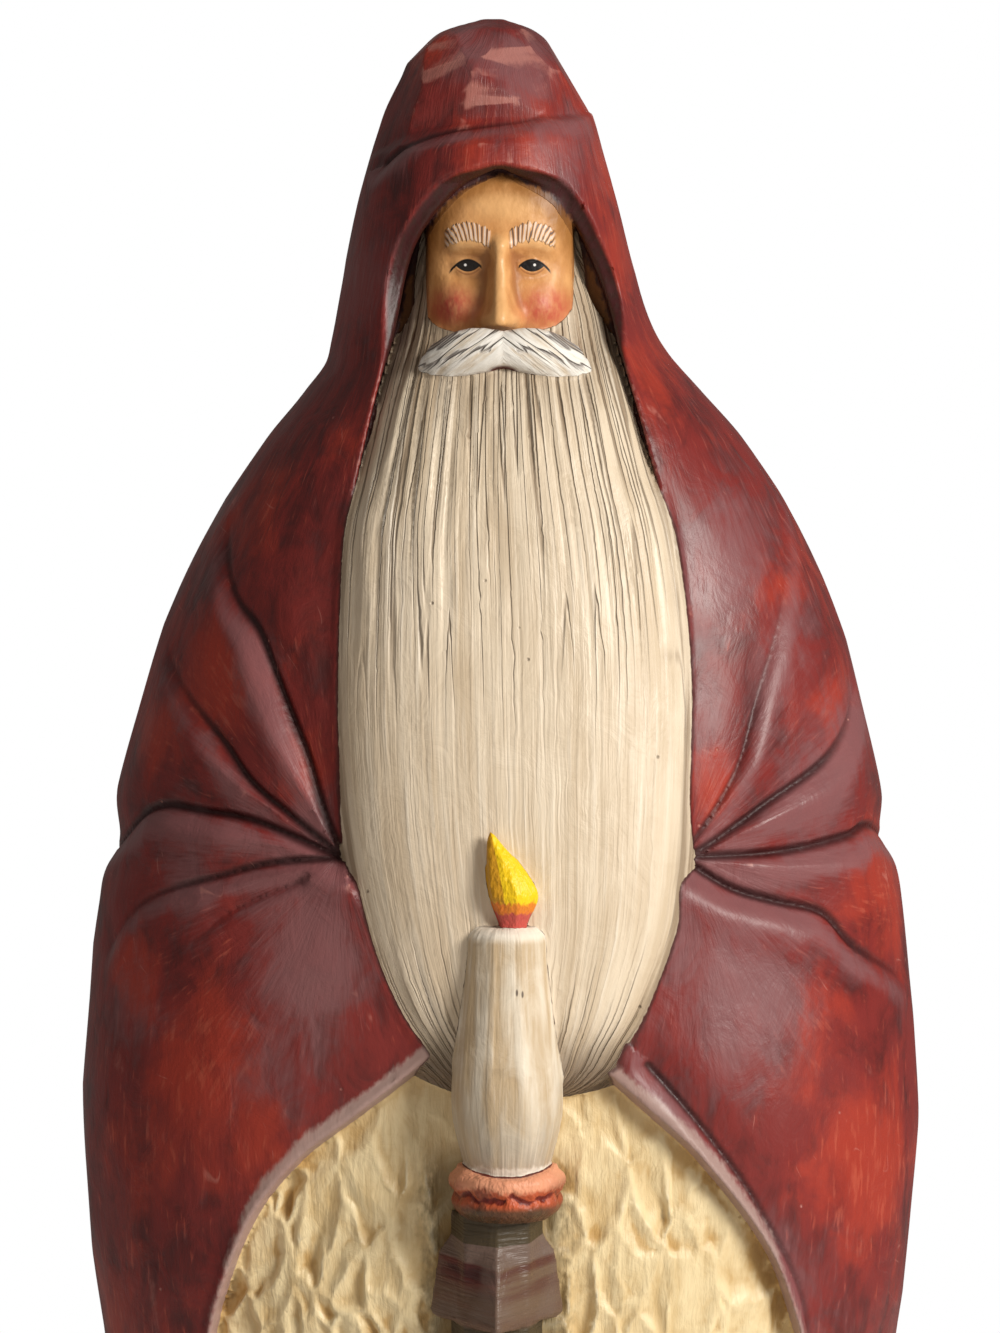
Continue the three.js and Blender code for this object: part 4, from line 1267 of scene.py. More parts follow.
def pits_and_specks():
    """Small pits and specks scattered in the varnish: a mask."""
    w, given, out = shader_group(
        "Pits and Specks",
        [("Place", "Vector", None), ("Spacing", "Float", 6.0), ("Size", "Float", 0.25)],
        [("Mask", "Float")],
    )
    place = w.vector("SCALE", given["Place"])
    w.give(place.node.inputs["Scale"], w.math("DIVIDE", 1.0, given["Spacing"]))
    spots = w.node("ShaderNodeTexVoronoi", {"Vector": place, "Scale": 1.0, "Randomness": 1.0}, feature="F1")
    rare = w.step(w.split(spots.outputs["Color"])[1], 0.5, 0.52)
    reach = w.math("DIVIDE", given["Size"], given["Spacing"])
    near = w.step(spots.outputs["Distance"], reach, 0.0)
    w.give(out["Mask"], w.math("MULTIPLY", near, rare))
    return w.tree


# The paint: each coat gives its colour and how high its strokes stand.

class Coats(Wiring):
    """The painted wood's tree, with what its coats share: places, attributes and effects."""

    def __init__(self, tree, paints):
        super().__init__(tree)
        self.paints = paints
        self.streaks_tree, self.lines_tree = brush_streaks(), hairlines()
        self.wash_tree, self.specks_tree = wash_and_shade(), pits_and_specks()
        metres = self.node("ShaderNodeTexCoord").outputs["Object"]
        scaled = self.vector("MULTIPLY", metres, (1 / MM, 1 / MM, 1 / MM))
        self.place = self.vector("ADD", scaled, (0, -DEPTH_SHIFT, 0))
        self.x, self.y, self.z = self.split(self.place)
        self.comb, self.wrap, self.gather = self.kept("comb"), self.kept("wrap"), self.kept("gather")
        self.dark, self.slope, self.gathered = (
            self.split(lines)[2] for lines in (self.comb, self.wrap, self.gather)
        )
        self.broad, self.fine, self.crease = self.split(self.kept("wear"))
        self.dust, self.warm, self.lit = self.split(self.kept("tints"))
        self.arch, self.opening, self.depth = self.split(self.kept("borders"))
        self.blotch = self.noise(self.scaled(self.place, 0.09, 0.09, 0.06), detail=3.0, roughness=0.6)
        self.cloud = self.noise(self.scaled(self.place, 0.19, 0.19, 0.13), 1.0, 5.0, 0.62, 0.7)
        self.grain = self.noise(self.scaled(self.place, 1.6, 1.6, 0.9), detail=2.0)
        self.specks = self.use(self.specks_tree, Place=self.place, Spacing=5.5, Size=0.32)["Mask"]

    def kept(self, name):
        made = self.node("ShaderNodeAttribute", attribute_type="GEOMETRY", attribute_name=name)
        return made.outputs["Vector"]

    def use(self, tree, **inputs):
        made = self.node("ShaderNodeGroup", node_tree=tree)
        for name, value in inputs.items():
            self.give(made.inputs[name], value)
        return made.outputs

    def streaks(self, lines, spacing, length, seed):
        outputs = self.use(self.streaks_tree, Lines=lines, Spacing=spacing, Length=length, Seed=seed)
        return outputs["Broad"], outputs["Fine"]

    def hairlines(self, lines, spacing, length, width, seed):
        inputs = dict(Lines=lines, Spacing=spacing, Length=length, Width=width, Seed=seed)
        return self.use(self.lines_tree, **inputs)["Mask"]

    def blend(self, *terms):
        """The sum of pairs of a value and its weight."""
        total = 0.0
        for value, weight in terms:
            total = self.math("ADD", total, self.math("MULTIPLY", value, weight))
        return total

    def wash(self, color, wash, hollow, low, high, most):
        inputs = dict(Color=color, Wash=wash, Hollow=hollow, Low=low, High=high, Most=most)
        return self.use(self.wash_tree, **inputs)["Color"]

    def spot(self, across, height, half_across, half_high, soft=0.3, mirrored=True):
        """A mask over an oval place seen from the front, on both sides if mirrored."""
        u = self.math("ABSOLUTE", self.x) if mirrored else self.x
        du = self.math("DIVIDE", self.math("SUBTRACT", u, across), half_across)
        dv = self.math("DIVIDE", self.math("SUBTRACT", self.z, height), half_high)
        squares = self.math("ADD", self.math("MULTIPLY", du, du), self.math("MULTIPLY", dv, dv))
        gap = self.math("SQRT", squares)
        return self.step(gap, 1 + soft, 1 - soft)


def cloak_coat(w, beard_edge):
    """Red clouded with maroon and with mauve that is dust and a painted sheen, with painted shade above and
    in the folds and a painted highlight on their rolls.
    """
    body, body_fine = w.streaks(w.wrap, 3.0, 9.0, 1.0)
    turned, turned_fine = w.streaks(w.gather, 2.6, 8.0, 5.0)
    streak = w.math("ADD", body, w.math("MULTIPLY", w.gathered, w.math("SUBTRACT", turned, body)))
    turn = w.math("MULTIPLY", w.gathered, w.math("SUBTRACT", turned_fine, body_fine))
    fine = w.math("ADD", body_fine, turn)
    second = w.noise(w.scaled(w.place, 0.14, 0.14, -0.1), 1.0, 5.0, 0.6, 0.5)
    # The painted shade spots darken the red.
    tone = w.blend((w.cloud, 0.75), (streak, 0.4), (w.blotch, 0.35), (w.dark, -0.3), (w.warm, 0.1))
    color = w.mix(w.step(tone, 0.55, 0.86), CLOAK_DARK, w.paints.cloak_red)
    thin = w.blend((w.warm, 0.42), (second, 0.8), (streak, 0.2), (w.dark, -0.3))
    color = w.mix(w.step(thin, 0.56, 0.86, 0.0, 0.9), color, CLOAK_WARM)
    fleck = w.blend((fine, 1.0), (w.warm, 0.16), (w.dark, -0.1))
    color = w.mix(w.step(fleck, 0.62, 0.8, 0.0, 0.5), color, CLOAK_BRIGHT)
    # Mauve dust, also a painted sheen in the spots and a painted highlight on the lit rolls of the folds.
    dusty = w.blend((w.dust, 0.8), (w.lit, 0.55), (w.cloud, -0.9), (fine, 0.5), (w.dark, -0.5))
    color = w.mix(w.step(dusty, -0.15, 0.42, 0.0, 0.85), color, CLOAK_DUST_AND_SHEEN)
    # Painted shade above the folds, in the shade spots and in broad hollows, then in the fold creases.
    shaded = w.blend((w.slope, 1.0), (w.dark, 0.5), (w.broad, 0.9), (streak, 0.3))
    color = w.wash(color, CLOAK_SHADE, shaded, 0.3, 1.15, 0.9)
    color = w.wash(color, CLOAK_CREASE, w.crease, 0.25, 1.0, 0.85)
    color = w.wash(color, CLOAK_CREASE, w.fine, 0.07, 0.2, 0.45)
    # Pale on raised edges: wear together with a painted highlight.
    worn_and_lit = w.step(w.blend((w.fine, 1.0), (w.grain, 0.03)), -0.03, -0.07, 0.0, 0.5)
    color = w.mix(worn_and_lit, color, CLOAK_WEAR_AND_HIGHLIGHT)
    scratch = w.hairlines(w.join(w.blend((w.x, 1.0), (w.z, 0.5)), w.z), 5.0, 12.0, 0.008, 21.0)
    scratch = w.math("MULTIPLY", scratch, w.step(second, 0.58, 0.66, 0.0, 0.3))
    color = w.mix(w.math("MAXIMUM", scratch, w.math("MULTIPLY", w.specks, 0.6)), color, CLOAK_WEAR_AND_HIGHLIGHT)

    # The undercoat shows grey along the edges over the robe, widest near their top.
    frayed = w.blend((w.arch, 1.0), (w.grain, 1.0), (w.step(w.z, 70, 88), -1.1))
    frayed = w.blend((frayed, 1.0), (w.cloud, 1.6))
    color = w.mix(w.step(frayed, 2.15, 1.2, 0.0, 0.85), color, UNDERCOAT)

    # Dark paint and painted shade line the inner wall of the hood's rim, with skin paint slopped over it
    # beside the face, which also stands for painted shade there.
    height = w.step(w.z, 158, 176)
    inner = w.math("MULTIPLY", w.step(w.opening, 2.5, 1.6), w.step(w.depth, 0.35, 1.0))
    inner = w.math("MULTIPLY", inner, height)
    color = w.mix(inner, color, w.mix(w.step(w.grain, 0.35, 0.65), HOOD_RIM_DARK_AND_SHADE, CLOAK_SHADE))
    slop_and_shade = w.step(w.blend((w.opening, -0.5), (w.cloud, 1.2), (w.grain, 0.6)), 0.95, 1.25, 0.0, 0.7)
    slop_and_shade = w.math("MULTIPLY", w.math("MULTIPLY", slop_and_shade, inner), w.step(w.depth, 1.6, 3.0))
    color = w.mix(slop_and_shade, color, SKIN_SLOP_AND_SHADE)
    # Dark along the beard's edge: dark paint and painted shade in the seam.
    seam = w.step(w.blend((beard_edge, -1.0), (w.grain, 0.5)), 0.75, 0.35, 0.0, 0.75)
    color = w.mix(seam, color, SEAM_DARK_AND_SHADE)
    stroke = w.blend((streak, 0.07), (fine, 0.06), (w.cloud, 0.25), (w.specks, -0.12))
    return color, stroke


def beard_coat(w):
    """Off-white over tan in soft streaks, with thin cuts that fan out under the moustache."""
    broad, fine = w.streaks(w.comb, 3.0, 44.0, 2.0)
    hairs, _ = w.streaks(w.comb, 0.7, 26.0, 7.0)
    pale = w.blend((broad, 0.8), (w.cloud, 0.3), (fine, 0.2))
    color = w.mix(w.step(pale, 0.45, 0.82), BEARD_TAN, w.paints.beard_pale)
    color = w.mix(w.step(fine, 0.52, 0.8, 0.0, 0.4), color, BEARD_LIGHT)
    color = w.mix(w.step(hairs, 0.54, 0.7, 0.0, 0.22), color, BEARD_TAN)
    reach = w.blend((w.z, 1.0), (broad, 40.0), (hairs, 14.0))
    upper = w.step(reach, 181, 203)
    lower = w.step(w.blend((w.z, 1.0), (hairs, 22.0)), 128, 112, 0.0, 0.9)
    cuts = w.math("MAXIMUM", upper, lower)
    lines = w.math("MULTIPLY", w.hairlines(w.comb, 1.9, 90.0, 0.03, 4.0), cuts)
    long_lines = w.hairlines(w.comb, 3.8, 150.0, 0.009, 6.0)
    long_lines = w.math("MULTIPLY", long_lines, w.step(reach, 166, 188, 0.0, 0.8))
    lines = w.math("MAXIMUM", lines, long_lines)

    # Darker under the moustache, along the sides and at the foot: painted shade under the moustache and
    # beside the hood's rim, over a thin wash.
    neck = w.step(w.blend((w.z, 1.0), (hairs, 16.0)), 180, 196, 0.0, 0.6)
    foot = w.step(w.blend((w.z, 1.0), (hairs, 20.0)), 122, 104)
    side = w.step(w.blend((w.opening, 1.0), (hairs, 2.0)), -0.6, 1.2, 0.0, 0.8)
    darkened = w.math("MAXIMUM", w.math("MAXIMUM", neck, foot), side)
    darkened = w.math("MULTIPLY", darkened, w.step(hairs, 0.3, 0.62, 0.4, 1.0))
    color = w.wash(color, BEARD_WASH_AND_SHADE, darkened, 0.05, 1.0, 0.85)
    color = w.wash(color, BEARD_DEEP, w.math("MULTIPLY", foot, w.step(w.z, 112, 98)), 0.2, 1.0, 0.6)
    color = w.wash(color, BEARD_WASH_AND_SHADE, w.fine, 0.02, 0.12, 0.45)
    color = w.wash(color, BEARD_WASH_AND_SHADE, lines, 0.15, 1.0, 0.7)
    color = w.mix(w.math("MULTIPLY", w.specks, 0.6), color, BEARD_DEEP)
    stroke = w.blend((lines, -0.3), (hairs, 0.16), (fine, 0.16), (w.cloud, 0.3), (w.specks, -0.25))
    return color, stroke


def robe_coat(w):
    """Cream with an ochre glaze that lies in some of the gouge cuts."""
    broad, fine = w.streaks(w.wrap, 2.0, 6.0, 3.0)
    tone = w.blend((broad, 0.5), (w.cloud, 0.7))
    color = w.mix(w.step(tone, 0.4, 0.7, 0.2, 1.0), ROBE_TAN, w.paints.robe_cream)
    glaze = w.noise(w.scaled(w.place, 0.21, 0.21, 0.15), 1.0, 3.0, 0.6)
    glaze = w.math("MULTIPLY", w.step(glaze, 0.4, 0.62), w.step(w.z, 96, 82, 0.3, 1.0))
    hollow = w.blend((w.broad, 1.0), (w.fine, 1.5), (fine, 0.1))
    color = w.wash(color, ROBE_TAN, hollow, 0.05, 0.5, 0.6)
    glazed = w.math("MULTIPLY", glaze, w.step(hollow, 0.05, 0.5, 0.25, 1.0))
    color = w.wash(color, ROBE_OCHRE, glazed, 0.1, 1.0, 0.75)
    color = w.wash(color, ROBE_BROWN, w.math("MULTIPLY", glaze, hollow), 0.35, 0.9, 0.6)
    # Pale on the ridges between the cuts: a painted highlight.
    color = w.mix(w.step(w.fine, -0.04, -0.13, 0.0, 0.5), color, ROBE_HIGHLIGHT)
    # Olive on the robe beside the candlestick under its cup: a painted shadow.
    beside = w.math("ABSOLUTE", w.math("SUBTRACT", w.x, STAND_AXIS[0]))
    shade = w.step(w.blend((beside, 1.0), (w.grain, -4.0)), 8.5, 5.0, 0.0, 0.7)
    color = w.mix(w.math("MULTIPLY", shade, w.step(w.z, 90, 84)), color, ROBE_OLIVE_SHADOW)
    corner = w.step(w.blend((w.arch, 1.0), (w.grain, 1.0)), -0.4, 0.5, 0.0, 0.8)
    color = w.mix(corner, color, UNDERCOAT)
    color = w.mix(w.math("MULTIPLY", w.specks, 0.5), color, ROBE_BROWN)
    return color, w.blend((broad, 0.2), (fine, 0.12), (w.cloud, 0.4), (w.specks, -0.15))


def skin_coat(w):
    """Warm tan skin with rosy cheeks, painted eyes and brows."""
    tone = w.noise(w.scaled(w.place, 0.5, 0.5, 0.35), detail=3.0)
    color = w.mix(w.step(tone, 0.35, 0.68), SKIN_SHADE, w.paints.skin_tan)
    # A thin wash with painted shade in the hollows, and a painted highlight on raised places.
    color = w.wash(color, SKIN_WASH_AND_SHADE, w.broad, 0.05, 0.4, 0.6)
    color = w.mix(w.step(w.broad, -0.05, -0.3, 0.0, 0.5), color, SKIN_HIGHLIGHT)
    # Darker at the top and sides of the face under the hood's rim: painted shade with skin paint slopped
    # there.
    crown = w.step(w.blend((w.opening, 1.0), (w.grain, 1.2), (w.cloud, 1.5)), -2.4, 0.2, 0.0, 0.85)
    color = w.mix(crown, color, SKIN_SLOP_AND_SHADE)
    rosy = w.spot(5.9, 193.4, 2.9, 2.3, 0.7)
    mottled = w.step(w.blend((w.grain, 0.5), (w.cloud, 0.6)), 0.35, 0.65, 0.55, 1.0)
    rosy = w.math("MULTIPLY", rosy, mottled)
    color = w.mix(rosy, color, CHEEK_RED)

    # The eye: an almond with a lid line that runs on past its outer corner, and a glint.
    u = w.math("ABSOLUTE", w.x)
    du = w.math("SUBTRACT", u, EYE_APART)
    dz = w.math("SUBTRACT", w.z, EYE_LEVEL)
    curve = w.math("MULTIPLY", w.math("MULTIPLY", du, du), 0.28)
    above = w.math("SUBTRACT", w.math("SUBTRACT", 0.8, curve), dz)
    below = w.math("ADD", dz, w.math("SUBTRACT", 0.65, w.math("MULTIPLY", curve, 1.1)))
    almond = w.math("MULTIPLY", w.step(above, -0.04, 0.08), w.step(below, -0.04, 0.08))
    lid = w.step(w.math("ABSOLUTE", above), 0.26, 0.12)
    lid = w.math("MULTIPLY", lid, w.math("MULTIPLY", w.step(du, -1.9, -1.6), w.step(du, 2.5, 2.1)))
    under = w.step(w.math("ABSOLUTE", w.math("ADD", below, 0.3)), 0.2, 0.05, 0.0, 0.55)
    under = w.math("MULTIPLY", under, w.step(w.math("ABSOLUTE", du), 1.8, 1.3))
    color = w.mix(under, color, SKIN_WASH_AND_SHADE)
    color = w.mix(w.math("MAXIMUM", almond, lid), color, EYE_BLACK)
    glint = w.spot(EYE_APART + 0.3, EYE_LEVEL + 0.22, 0.17, 0.17, 0.3)
    color = w.mix(glint, color, EYE_WHITE)

    # The brow: short fanned strokes side by side in an arch, grey and white in turn.
    rise = w.math("SUBTRACT", BROW + 2.1, w.math("MULTIPLY", w.math("MULTIPLY", du, du), 0.13))
    off = w.math("SUBTRACT", w.z, rise)
    uneven = w.noise(w.join(w.math("MULTIPLY", w.x, 2.3), 3.0), detail=1.0)
    reach = w.blend((uneven, 1.5), (0.35, 1.0))
    band = w.step(w.math("SUBTRACT", w.math("ABSOLUTE", off), reach), 0.15, -0.1)
    band = w.math("MULTIPLY", band, w.step(w.math("ABSOLUTE", du), 3.1, 2.6))
    fan = w.math("MULTIPLY", w.math("MULTIPLY", du, off), -0.22)
    comb = w.blend((du, 1.75), (off, -0.4), (fan, 1.0), (uneven, 0.9))
    wave = w.math("SINE", w.math("MULTIPLY", comb, 2 * math.pi))
    color = w.mix(w.math("MULTIPLY", band, w.step(wave, 0.0, -0.6, 0.0, 0.8)), color, BROW_WHITE)
    color = w.mix(w.math("MULTIPLY", band, w.step(wave, 0.45, 0.8, 0.0, 0.9)), color, BROW_GREY)
    return color, w.blend((tone, 0.25), (band, 0.12), (almond, -0.05))


def moustache_coat(w):
    """White, with thin slanting cuts drawn in grey on its upper half."""
    u = w.math("ABSOLUTE", w.math("SUBTRACT", w.x, 0.4))
    slant = w.blend((u, 0.62), (w.z, 0.8))
    along = w.blend((u, 0.8), (w.z, -0.62))
    hairs, fine = w.streaks(w.join(slant, along), 0.9, 5.0, 9.0)
    color = w.mix(w.step(hairs, 0.3, 0.55, 0.25, 1.0), BEARD_TAN, MOUSTACHE_WHITE)
    cuts = w.hairlines(w.join(slant, along), 0.95, 8.0, 0.05, 8.0)
    high = w.step(w.blend((w.z, 1.0), (u, 0.28), (hairs, 1.6)), 189.0, 190.2)
    cuts = w.math("MULTIPLY", cuts, high)
    color = w.mix(w.math("MULTIPLY", cuts, 0.8), color, BROW_GREY)
    color = w.wash(color, BEARD_WASH_AND_SHADE, w.broad, 0.05, 0.4, 0.7)
    lip = w.spot(MOUTH_ACROSS, MOUTH_LEVEL, 1.7, 0.75, 0.3, mirrored=False)
    color = w.mix(lip, color, MOUTH_DARK)
    return color, w.blend((hairs, 0.3), (cuts, -0.4), (fine, 0.1))


def candle_coat(w):
    """Off-white with faint tan streaks, greyer at its foot, whiter at its shoulder."""
    across = w.math("SUBTRACT", w.x, CANDLE_AXIS[0])
    angle = w.math("ARCTAN2", across, w.math("SUBTRACT", CANDLE_AXIS[1], w.y))
    lines = w.join(w.math("MULTIPLY", angle, 6.0), w.z)
    broad, fine = w.streaks(lines, 2.2, 18.0, 11.0)
    pale = w.step(w.blend((broad, 0.7), (w.cloud, 0.4)), 0.42, 0.7)
    color = w.mix(pale, CANDLE_TAN, w.paints.candle_white)
    color = w.mix(w.step(fine, 0.55, 0.8, 0.0, 0.3), color, BEARD_LIGHT)
    darkened = w.step(w.blend((fine, 0.6), (w.cloud, 0.6)), 0.4, 0.8, 0.2, 0.8)
    color = w.mix(w.math("MULTIPLY", w.step(w.z, 99, 87), darkened), color, CANDLE_GREY)
    color = w.mix(w.step(w.z, 115.0, 116.3, 0.0, 0.85), color, BEARD_LIGHT)
    color = w.wash(color, BEARD_WASH_AND_SHADE, w.broad, 0.08, 0.5, 0.6)
    color = w.mix(w.step(w.blend((w.z, 1.0), (w.grain, 1.4)), 88.1, 87.4, 0.0, 0.7), color, BEARD_LIGHT)
    marks = w.math("MAXIMUM", *(w.spot(x, z, 0.14, 0.42, 0.4, False) for x, z in CANDLE_MARKS))
    front = w.math("LESS_THAN", w.y, -40.0)
    color = w.mix(w.math("MULTIPLY", w.math("MULTIPLY", marks, front), 0.8), color, CLOAK_CREASE)
    return color, w.blend((broad, 0.3), (fine, 0.1), (w.cloud, 0.3))


def flame_coat(w):
    """Yellow, with painted shade in ochre on its left flat, orange and red where it leaves the wick."""
    # Ochre on the left flat: painted shade.
    split = w.blend((w.z, 0.2), (w.x, 1.0), (w.grain, 0.3))
    left = w.step(split, 24.95, 24.75)
    color = w.mix(w.math("MULTIPLY", left, 0.75), w.paints.flame_yellow, FLAME_SHADED_OCHRE)
    ragged = w.blend((w.z, 1.0), (w.grain, 1.6))
    color = w.mix(w.step(ragged, 121.2, 120.7, 0.0, 0.9), color, FLAME_ORANGE)
    color = w.mix(w.step(ragged, 119.9, 119.5), color, FLAME_RED)
    return color, w.math("MULTIPLY", w.grain, 0.3)


def cup_coat(w):
    """Orange brown, with a painted highlight on its lip and dark red in the ragged cut."""
    color = w.mix(w.step(w.cloud, 0.4, 0.6), CUP_BROWN, CUP_ORANGE)
    # Pale on its top lip: a painted highlight.
    lip = w.blend((w.z, 1.0), (w.grain, 1.4), (w.cloud, 2.0))
    color = w.mix(w.step(lip, 85.7, 86.6, 0.0, 0.85), color, CUP_LIP_HIGHLIGHT)
    color = w.wash(color, CUP_CUT, w.blend((w.broad, 1.0), (w.fine, 1.6)), 0.02, 0.22, 0.95)
    # Olive under the cup where it meets the block: a wash and painted shade.
    color = w.mix(w.step(w.z, 82.6, 81.6, 0.0, 0.85), color, STAND_OLIVE_WASH_AND_SHADE)
    dark = w.step(w.math("ABSOLUTE", w.math("SUBTRACT", w.x, CANDLE_AXIS[0])), 4.6, 6.6, 0.0, 0.55)
    color = w.mix(w.math("MULTIPLY", dark, w.step(w.z, 86.0, 84.6)), color, CUP_BROWN)
    return color, w.blend((w.grain, 0.3), (w.cloud, 0.5))


def stand_coat(w):
    """Maroon blocks brushed crosswise, darker on their left faces and brown and grey on their right faces
    as painted shade and light, grey on their top flats as a painted highlight, olive between as a wash and
    painted shade.
    """
    across = w.math("SUBTRACT", w.x, STAND_AXIS[0])
    forward = w.math("MAXIMUM", w.math("SUBTRACT", STAND_AXIS[1], w.y), 0.0)
    level = w.blend((w.z, 1.0), (forward, BLOCK_LEAN))
    broad, fine = w.streaks(w.join(level, across), 1.5, 9.0, 13.0)
    # Left faces darker maroon and right faces brown and grey: painted shade and painted light from a light
    # on the right.
    left = w.mix(w.step(broad, 0.4, 0.62), STAND_SHADED_DARK, STAND_MAROON)
    right = w.mix(w.step(broad, 0.35, 0.65), STAND_LIT_BROWN, STAND_GREY)
    color = w.mix(w.step(across, -0.3, 0.2), left, right)
    place = w.math("MODULO", w.math("SUBTRACT", BLOCK_TOP + BLOCK_PITCH * 6, level), BLOCK_PITCH)
    low = w.step(w.blend((place, 1.0), (broad, 3.0)), 6.0, 8.2, 0.0, 0.65)
    color = w.mix(low, color, STAND_GREY)
    # Grey on the top flats: a painted highlight.
    under_top = w.math("LESS_THAN", level, BLOCK_TOP + 0.3)
    top = w.math("MULTIPLY", w.step(place, CHAMFER + 0.5, CHAMFER), under_top)
    color = w.mix(w.math("MULTIPLY", top, 0.85), color, STAND_HIGHLIGHT_GREY)
    # Olive in the recesses between the blocks: a wash and painted shade.
    gap = w.step(place, BLOCK_HEIGHT - 0.3, BLOCK_HEIGHT + 0.3)
    gap = w.math("MAXIMUM", gap, w.math("SUBTRACT", 1.0, under_top))
    gap = w.math("MULTIPLY", gap, w.math("GREATER_THAN", w.z, 19.0))
    color = w.mix(w.math("MULTIPLY", gap, 0.9), color, STAND_OLIVE_WASH_AND_SHADE)
    # Pale on the edges: wear together with a painted highlight.
    color = w.mix(w.step(w.fine, -0.02, -0.08, 0.0, 0.45), color, STAND_HIGHLIGHT_GREY)
    return color, w.blend((broad, 0.35), (fine, 0.15), (w.cloud, 0.4))


def base_coat(w):
    """Plain dark olive brown, worn along its edge."""
    color = w.mix(w.step(w.blotch, 0.35, 0.65), BASE_DARK, BASE_OLIVE)
    color = w.mix(w.step(w.fine, -0.02, -0.1, 0.0, 0.6), color, BASE_WORN)
    return color, w.math("MULTIPLY", w.grain, 0.3)


def painted_wood(paints):
    """One varnished material: each coat where its part of the carving shows."""
    material = bpy.data.materials.new("Painted Wood")
    material.use_nodes = True
    tree = material.node_tree
    tree.nodes.clear()
    w = Coats(tree, paints)
    beard_edge, robe_edge, skin_edge = w.split(w.kept("coats_a"))
    moustache_edge, candle_edge, flame_edge = w.split(w.kept("coats_b"))
    cup_edge, stand_edge, base_edge = w.split(w.kept("coats_c"))
    color, height = cloak_coat(w, beard_edge)
    ragged = w.math("MULTIPLY", w.math("SUBTRACT", w.grain, 0.5), 0.25)
    for coat, edge in (
        (robe_coat, robe_edge), (beard_coat, beard_edge), (skin_coat, skin_edge),
        (moustache_coat, moustache_edge), (stand_coat, stand_edge), (cup_coat, cup_edge),
        (candle_coat, candle_edge), (flame_coat, flame_edge), (base_coat, base_edge),
    ):
        over, stroke = coat(w)
        mask = w.step(w.math("ADD", edge, ragged), -0.05, 0.05)
        color = w.mix(mask, color, over)
        height = w.math("ADD", height, w.math("MULTIPLY", mask, w.math("SUBTRACT", stroke, height)))
    bump = w.node("ShaderNodeBump", {"Strength": 1.0, "Distance": MM, "Height": height})
    gloss = w.step(w.blotch, 0.3, 0.7, 0.36, 0.5)
    gloss = w.math("ADD", gloss, w.step(w.broad, 0.05, 0.5, 0.0, 0.2))
    shader = w.node("ShaderNodeBsdfPrincipled", {
        "Base Color": color, "Roughness": gloss, "Normal": bump.outputs[0],
        "Specular IOR Level": 0.35, "Coat Weight": 0.06, "Coat Roughness": 0.3,
    })
    w.node("ShaderNodeOutputMaterial", {"Surface": shader.outputs[0]})
    return material


# The stage: a plain pale floor, soft light and the camera at the photograph's angle.

def aim(thing, target):
    thing.rotation_mode = "QUATERNION"
    thing.rotation_quaternion = (Vector(target) - thing.location).to_track_quat("-Z", "Y")


def placed(name, data, location=(0, 0, 0)):
    made = bpy.data.objects.new(name, data)
    made.location = location
    bpy.context.scene.collection.objects.link(made)
    return made


def pale_floor():
    """A round plain floor under the figure."""
    turns = np.linspace(0, 2 * math.pi, 97)[:-1]
    rim = [(FLOOR_RADIUS * math.cos(t), FLOOR_RADIUS * math.sin(t), 0.0) for t in turns]
    mesh = bpy.data.meshes.new("pale_floor")
    mesh.from_pydata(rim, [], [tuple(range(len(rim)))])
    material = bpy.data.materials.new("Pale Floor")
    material.use_nodes = True
    shader = material.node_tree.nodes["Principled BSDF"]
    shader.inputs["Base Color"].default_value = FLOOR_COLOR
    shader.inputs["Roughness"].default_value = 0.85
    mesh.materials.append(material)
    floor = placed("pale_floor", mesh)


def white_world():
    """White behind the figure, and a softer light from all sides."""
    world = bpy.data.worlds.new("Studio")
    world.use_nodes = True
    tree = world.node_tree
    tree.nodes.clear()
    w = Wiring(tree)
    seen = w.node("ShaderNodeLightPath").outputs["Is Camera Ray"]
    around = w.node("ShaderNodeBackground", {0: AMBIENT_COLOR, 1: AMBIENT_STRENGTH})
    behind = w.node("ShaderNodeBackground", {0: (1, 1, 1, 1), 1: BACKDROP_STRENGTH})
    mixed = w.node("ShaderNodeMixShader", {0: seen, 1: around.outputs[0], 2: behind.outputs[0]})
    w.node("ShaderNodeOutputWorld", {0: mixed.outputs[0]})
    bpy.context.scene.world = world


def soft_lights():
    """Each light: its place, size, power and colour, and whether gloss shows it."""
    for name, place, size, power, color, in_gloss in LIGHTS:
        data = bpy.data.lights.new(name, "AREA")
        data.size, data.energy, data.color = size, power, color
        light = placed(name, data, place)
        light.visible_glossy = in_gloss
        aim(light, LIGHT_TARGET)


def plain_view():
    """Colours are shown as they are mixed, with a white background."""
    bpy.context.scene.view_settings.view_transform = "Standard"


def photo_camera():
    """The camera at the photograph's angle, framed as it is."""
    data = bpy.data.cameras.new("Camera")
    data.sensor_fit = "VERTICAL"
    data.sensor_height = data.sensor_width = 36.0
    data.lens = 36.0 * CAMERA_DISTANCE / VIEW_HEIGHT
    rise = math.radians(CAMERA_ELEVATION)
    target = Vector(CAMERA_TARGET)
    back = Vector((0, -math.cos(rise), math.sin(rise)))
    camera = placed("Camera", data, target + back * CAMERA_DISTANCE)
    aim(camera, target)
    bpy.context.scene.camera = camera


# The add-on.

def length_property(name, description, default):
    return FloatProperty(name=name, description=description, default=default, min=0, unit="LENGTH")


def color_property(name, description, default):
    settings = dict(size=4, subtype="COLOR", min=0, max=1)
    return FloatVectorProperty(name=name, description=description, default=default, **settings)


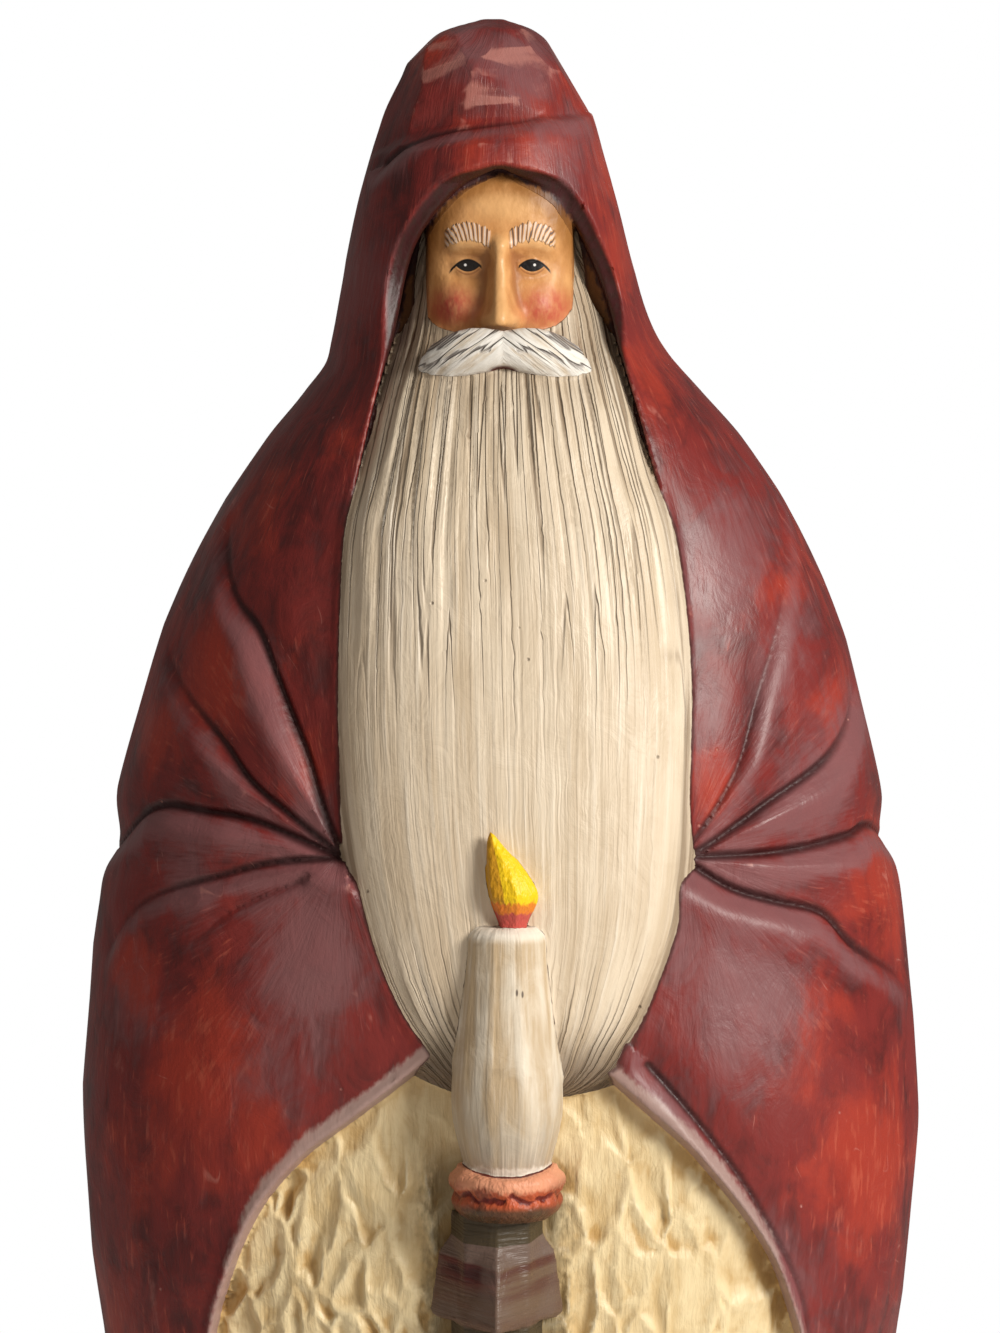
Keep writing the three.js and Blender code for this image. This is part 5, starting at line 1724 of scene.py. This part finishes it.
class CarvingSizes(PropertyGroup):
    """Sizes of the relief that the tools leave on the carving."""

    strand_depth: length_property("Strand Depth", "Depth of the combed grooves", 0.0004)
    strand_spacing: length_property("Strand Spacing", "Width of a combed strand", 0.0016)
    scoop_depth: length_property("Scoop Depth", "Depth of the gouge cuts", 0.0012)
    scoop_width: length_property("Scoop Width", "Width of a gouge cut", 0.005)
    scoop_length: length_property("Scoop Length", "Length of a gouge cut", 0.0095)
    facet_depth: length_property("Facet Depth", "Depth of the knife flats", 0.0006)
    facet_size: length_property("Facet Size", "Width of a knife flat", 0.011)
    seed: IntProperty(name="Seed", description="Changes where the cuts fall", default=3, min=0)


class CarvingPaints(PropertyGroup):
    """The main paint colours."""

    cloak_red: color_property("Cloak Red", "Main colour of the cloak and hood", CLOAK_RED)
    beard_pale: color_property("Beard Pale", "Main colour of the beard", BEARD_PALE)
    robe_cream: color_property("Robe Cream", "Main colour of the robe", ROBE_CREAM)
    skin_tan: color_property("Skin Tan", "Main colour of the face", SKIN_TAN)
    candle_white: color_property("Candle White", "Main colour of the candle", CANDLE_WHITE)
    flame_yellow: color_property("Flame Yellow", "Main colour of the flame", FLAME_YELLOW)


class CARVING_OT_carve(Operator):
    """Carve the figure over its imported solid"""

    bl_idname = "carving.carve"
    bl_label = "Carve Figure"

    def execute(self, context):
        points, quads = carved_points()
        mesh = mesh_from(PIECE, points, quads)
        follow_carving(mesh)
        placed(PIECE, mesh)
        return {"FINISHED"}


class CARVING_OT_relief(Operator):
    """Comb the beard, gouge the robe and leave knife flats on the cloak"""

    bl_idname = "carving.relief"
    bl_label = "Cut Relief"

    def execute(self, context):
        piece = bpy.data.objects[PIECE]
        cut_relief(piece, context.scene.carving_sizes, painted_wood(context.scene.carving_paints))
        thin_out(piece)
        piece.data.shade_smooth()
        return {"FINISHED"}


class CARVING_OT_paint(Operator):
    """Lay out the coats of paint on the carving"""

    bl_idname = "carving.paint"
    bl_label = "Paint Figure"

    def execute(self, context):
        piece = bpy.data.objects[PIECE]
        follow_paint(piece.data)
        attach(piece, BODY)
        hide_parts(NODE)
        return {"FINISHED"}


class CARVING_OT_stage(Operator):
    """Set the pale floor, the soft light and the camera"""

    bl_idname = "carving.stage"
    bl_label = "Set Stage"

    def execute(self, context):
        pale_floor()
        white_world()
        soft_lights()
        photo_camera()
        plain_view()
        return {"FINISHED"}


STEPS = (CARVING_OT_carve, CARVING_OT_relief, CARVING_OT_paint, CARVING_OT_stage)


class CARVING_PT_panel(Panel):
    """The carving's sizes, paints and steps"""

    bl_idname = "CARVING_PT_panel"
    bl_label = "Carving"
    bl_space_type = "VIEW_3D"
    bl_region_type = "UI"
    bl_category = "Carving"

    def draw(self, context):
        for group in (context.scene.carving_sizes, context.scene.carving_paints):
            box = self.layout.box()
            for name in group.__annotations__:
                box.prop(group, name)
        for step in STEPS:
            self.layout.operator(step.bl_idname)


CLASSES = (CarvingSizes, CarvingPaints, *STEPS, CARVING_PT_panel)


def register():
    for cls in CLASSES:
        bpy.utils.register_class(cls)
    bpy.types.Scene.carving_sizes = PointerProperty(type=CarvingSizes)
    bpy.types.Scene.carving_paints = PointerProperty(type=CarvingPaints)


def unregister():
    del bpy.types.Scene.carving_paints
    del bpy.types.Scene.carving_sizes
    for cls in reversed(CLASSES):
        bpy.utils.unregister_class(cls)


def main():
    register()
    bpy.ops.carving.stage()
    bpy.ops.carving.carve()
    bpy.ops.carving.relief()
    bpy.ops.carving.paint()


if __name__ == "__main__":
    main()
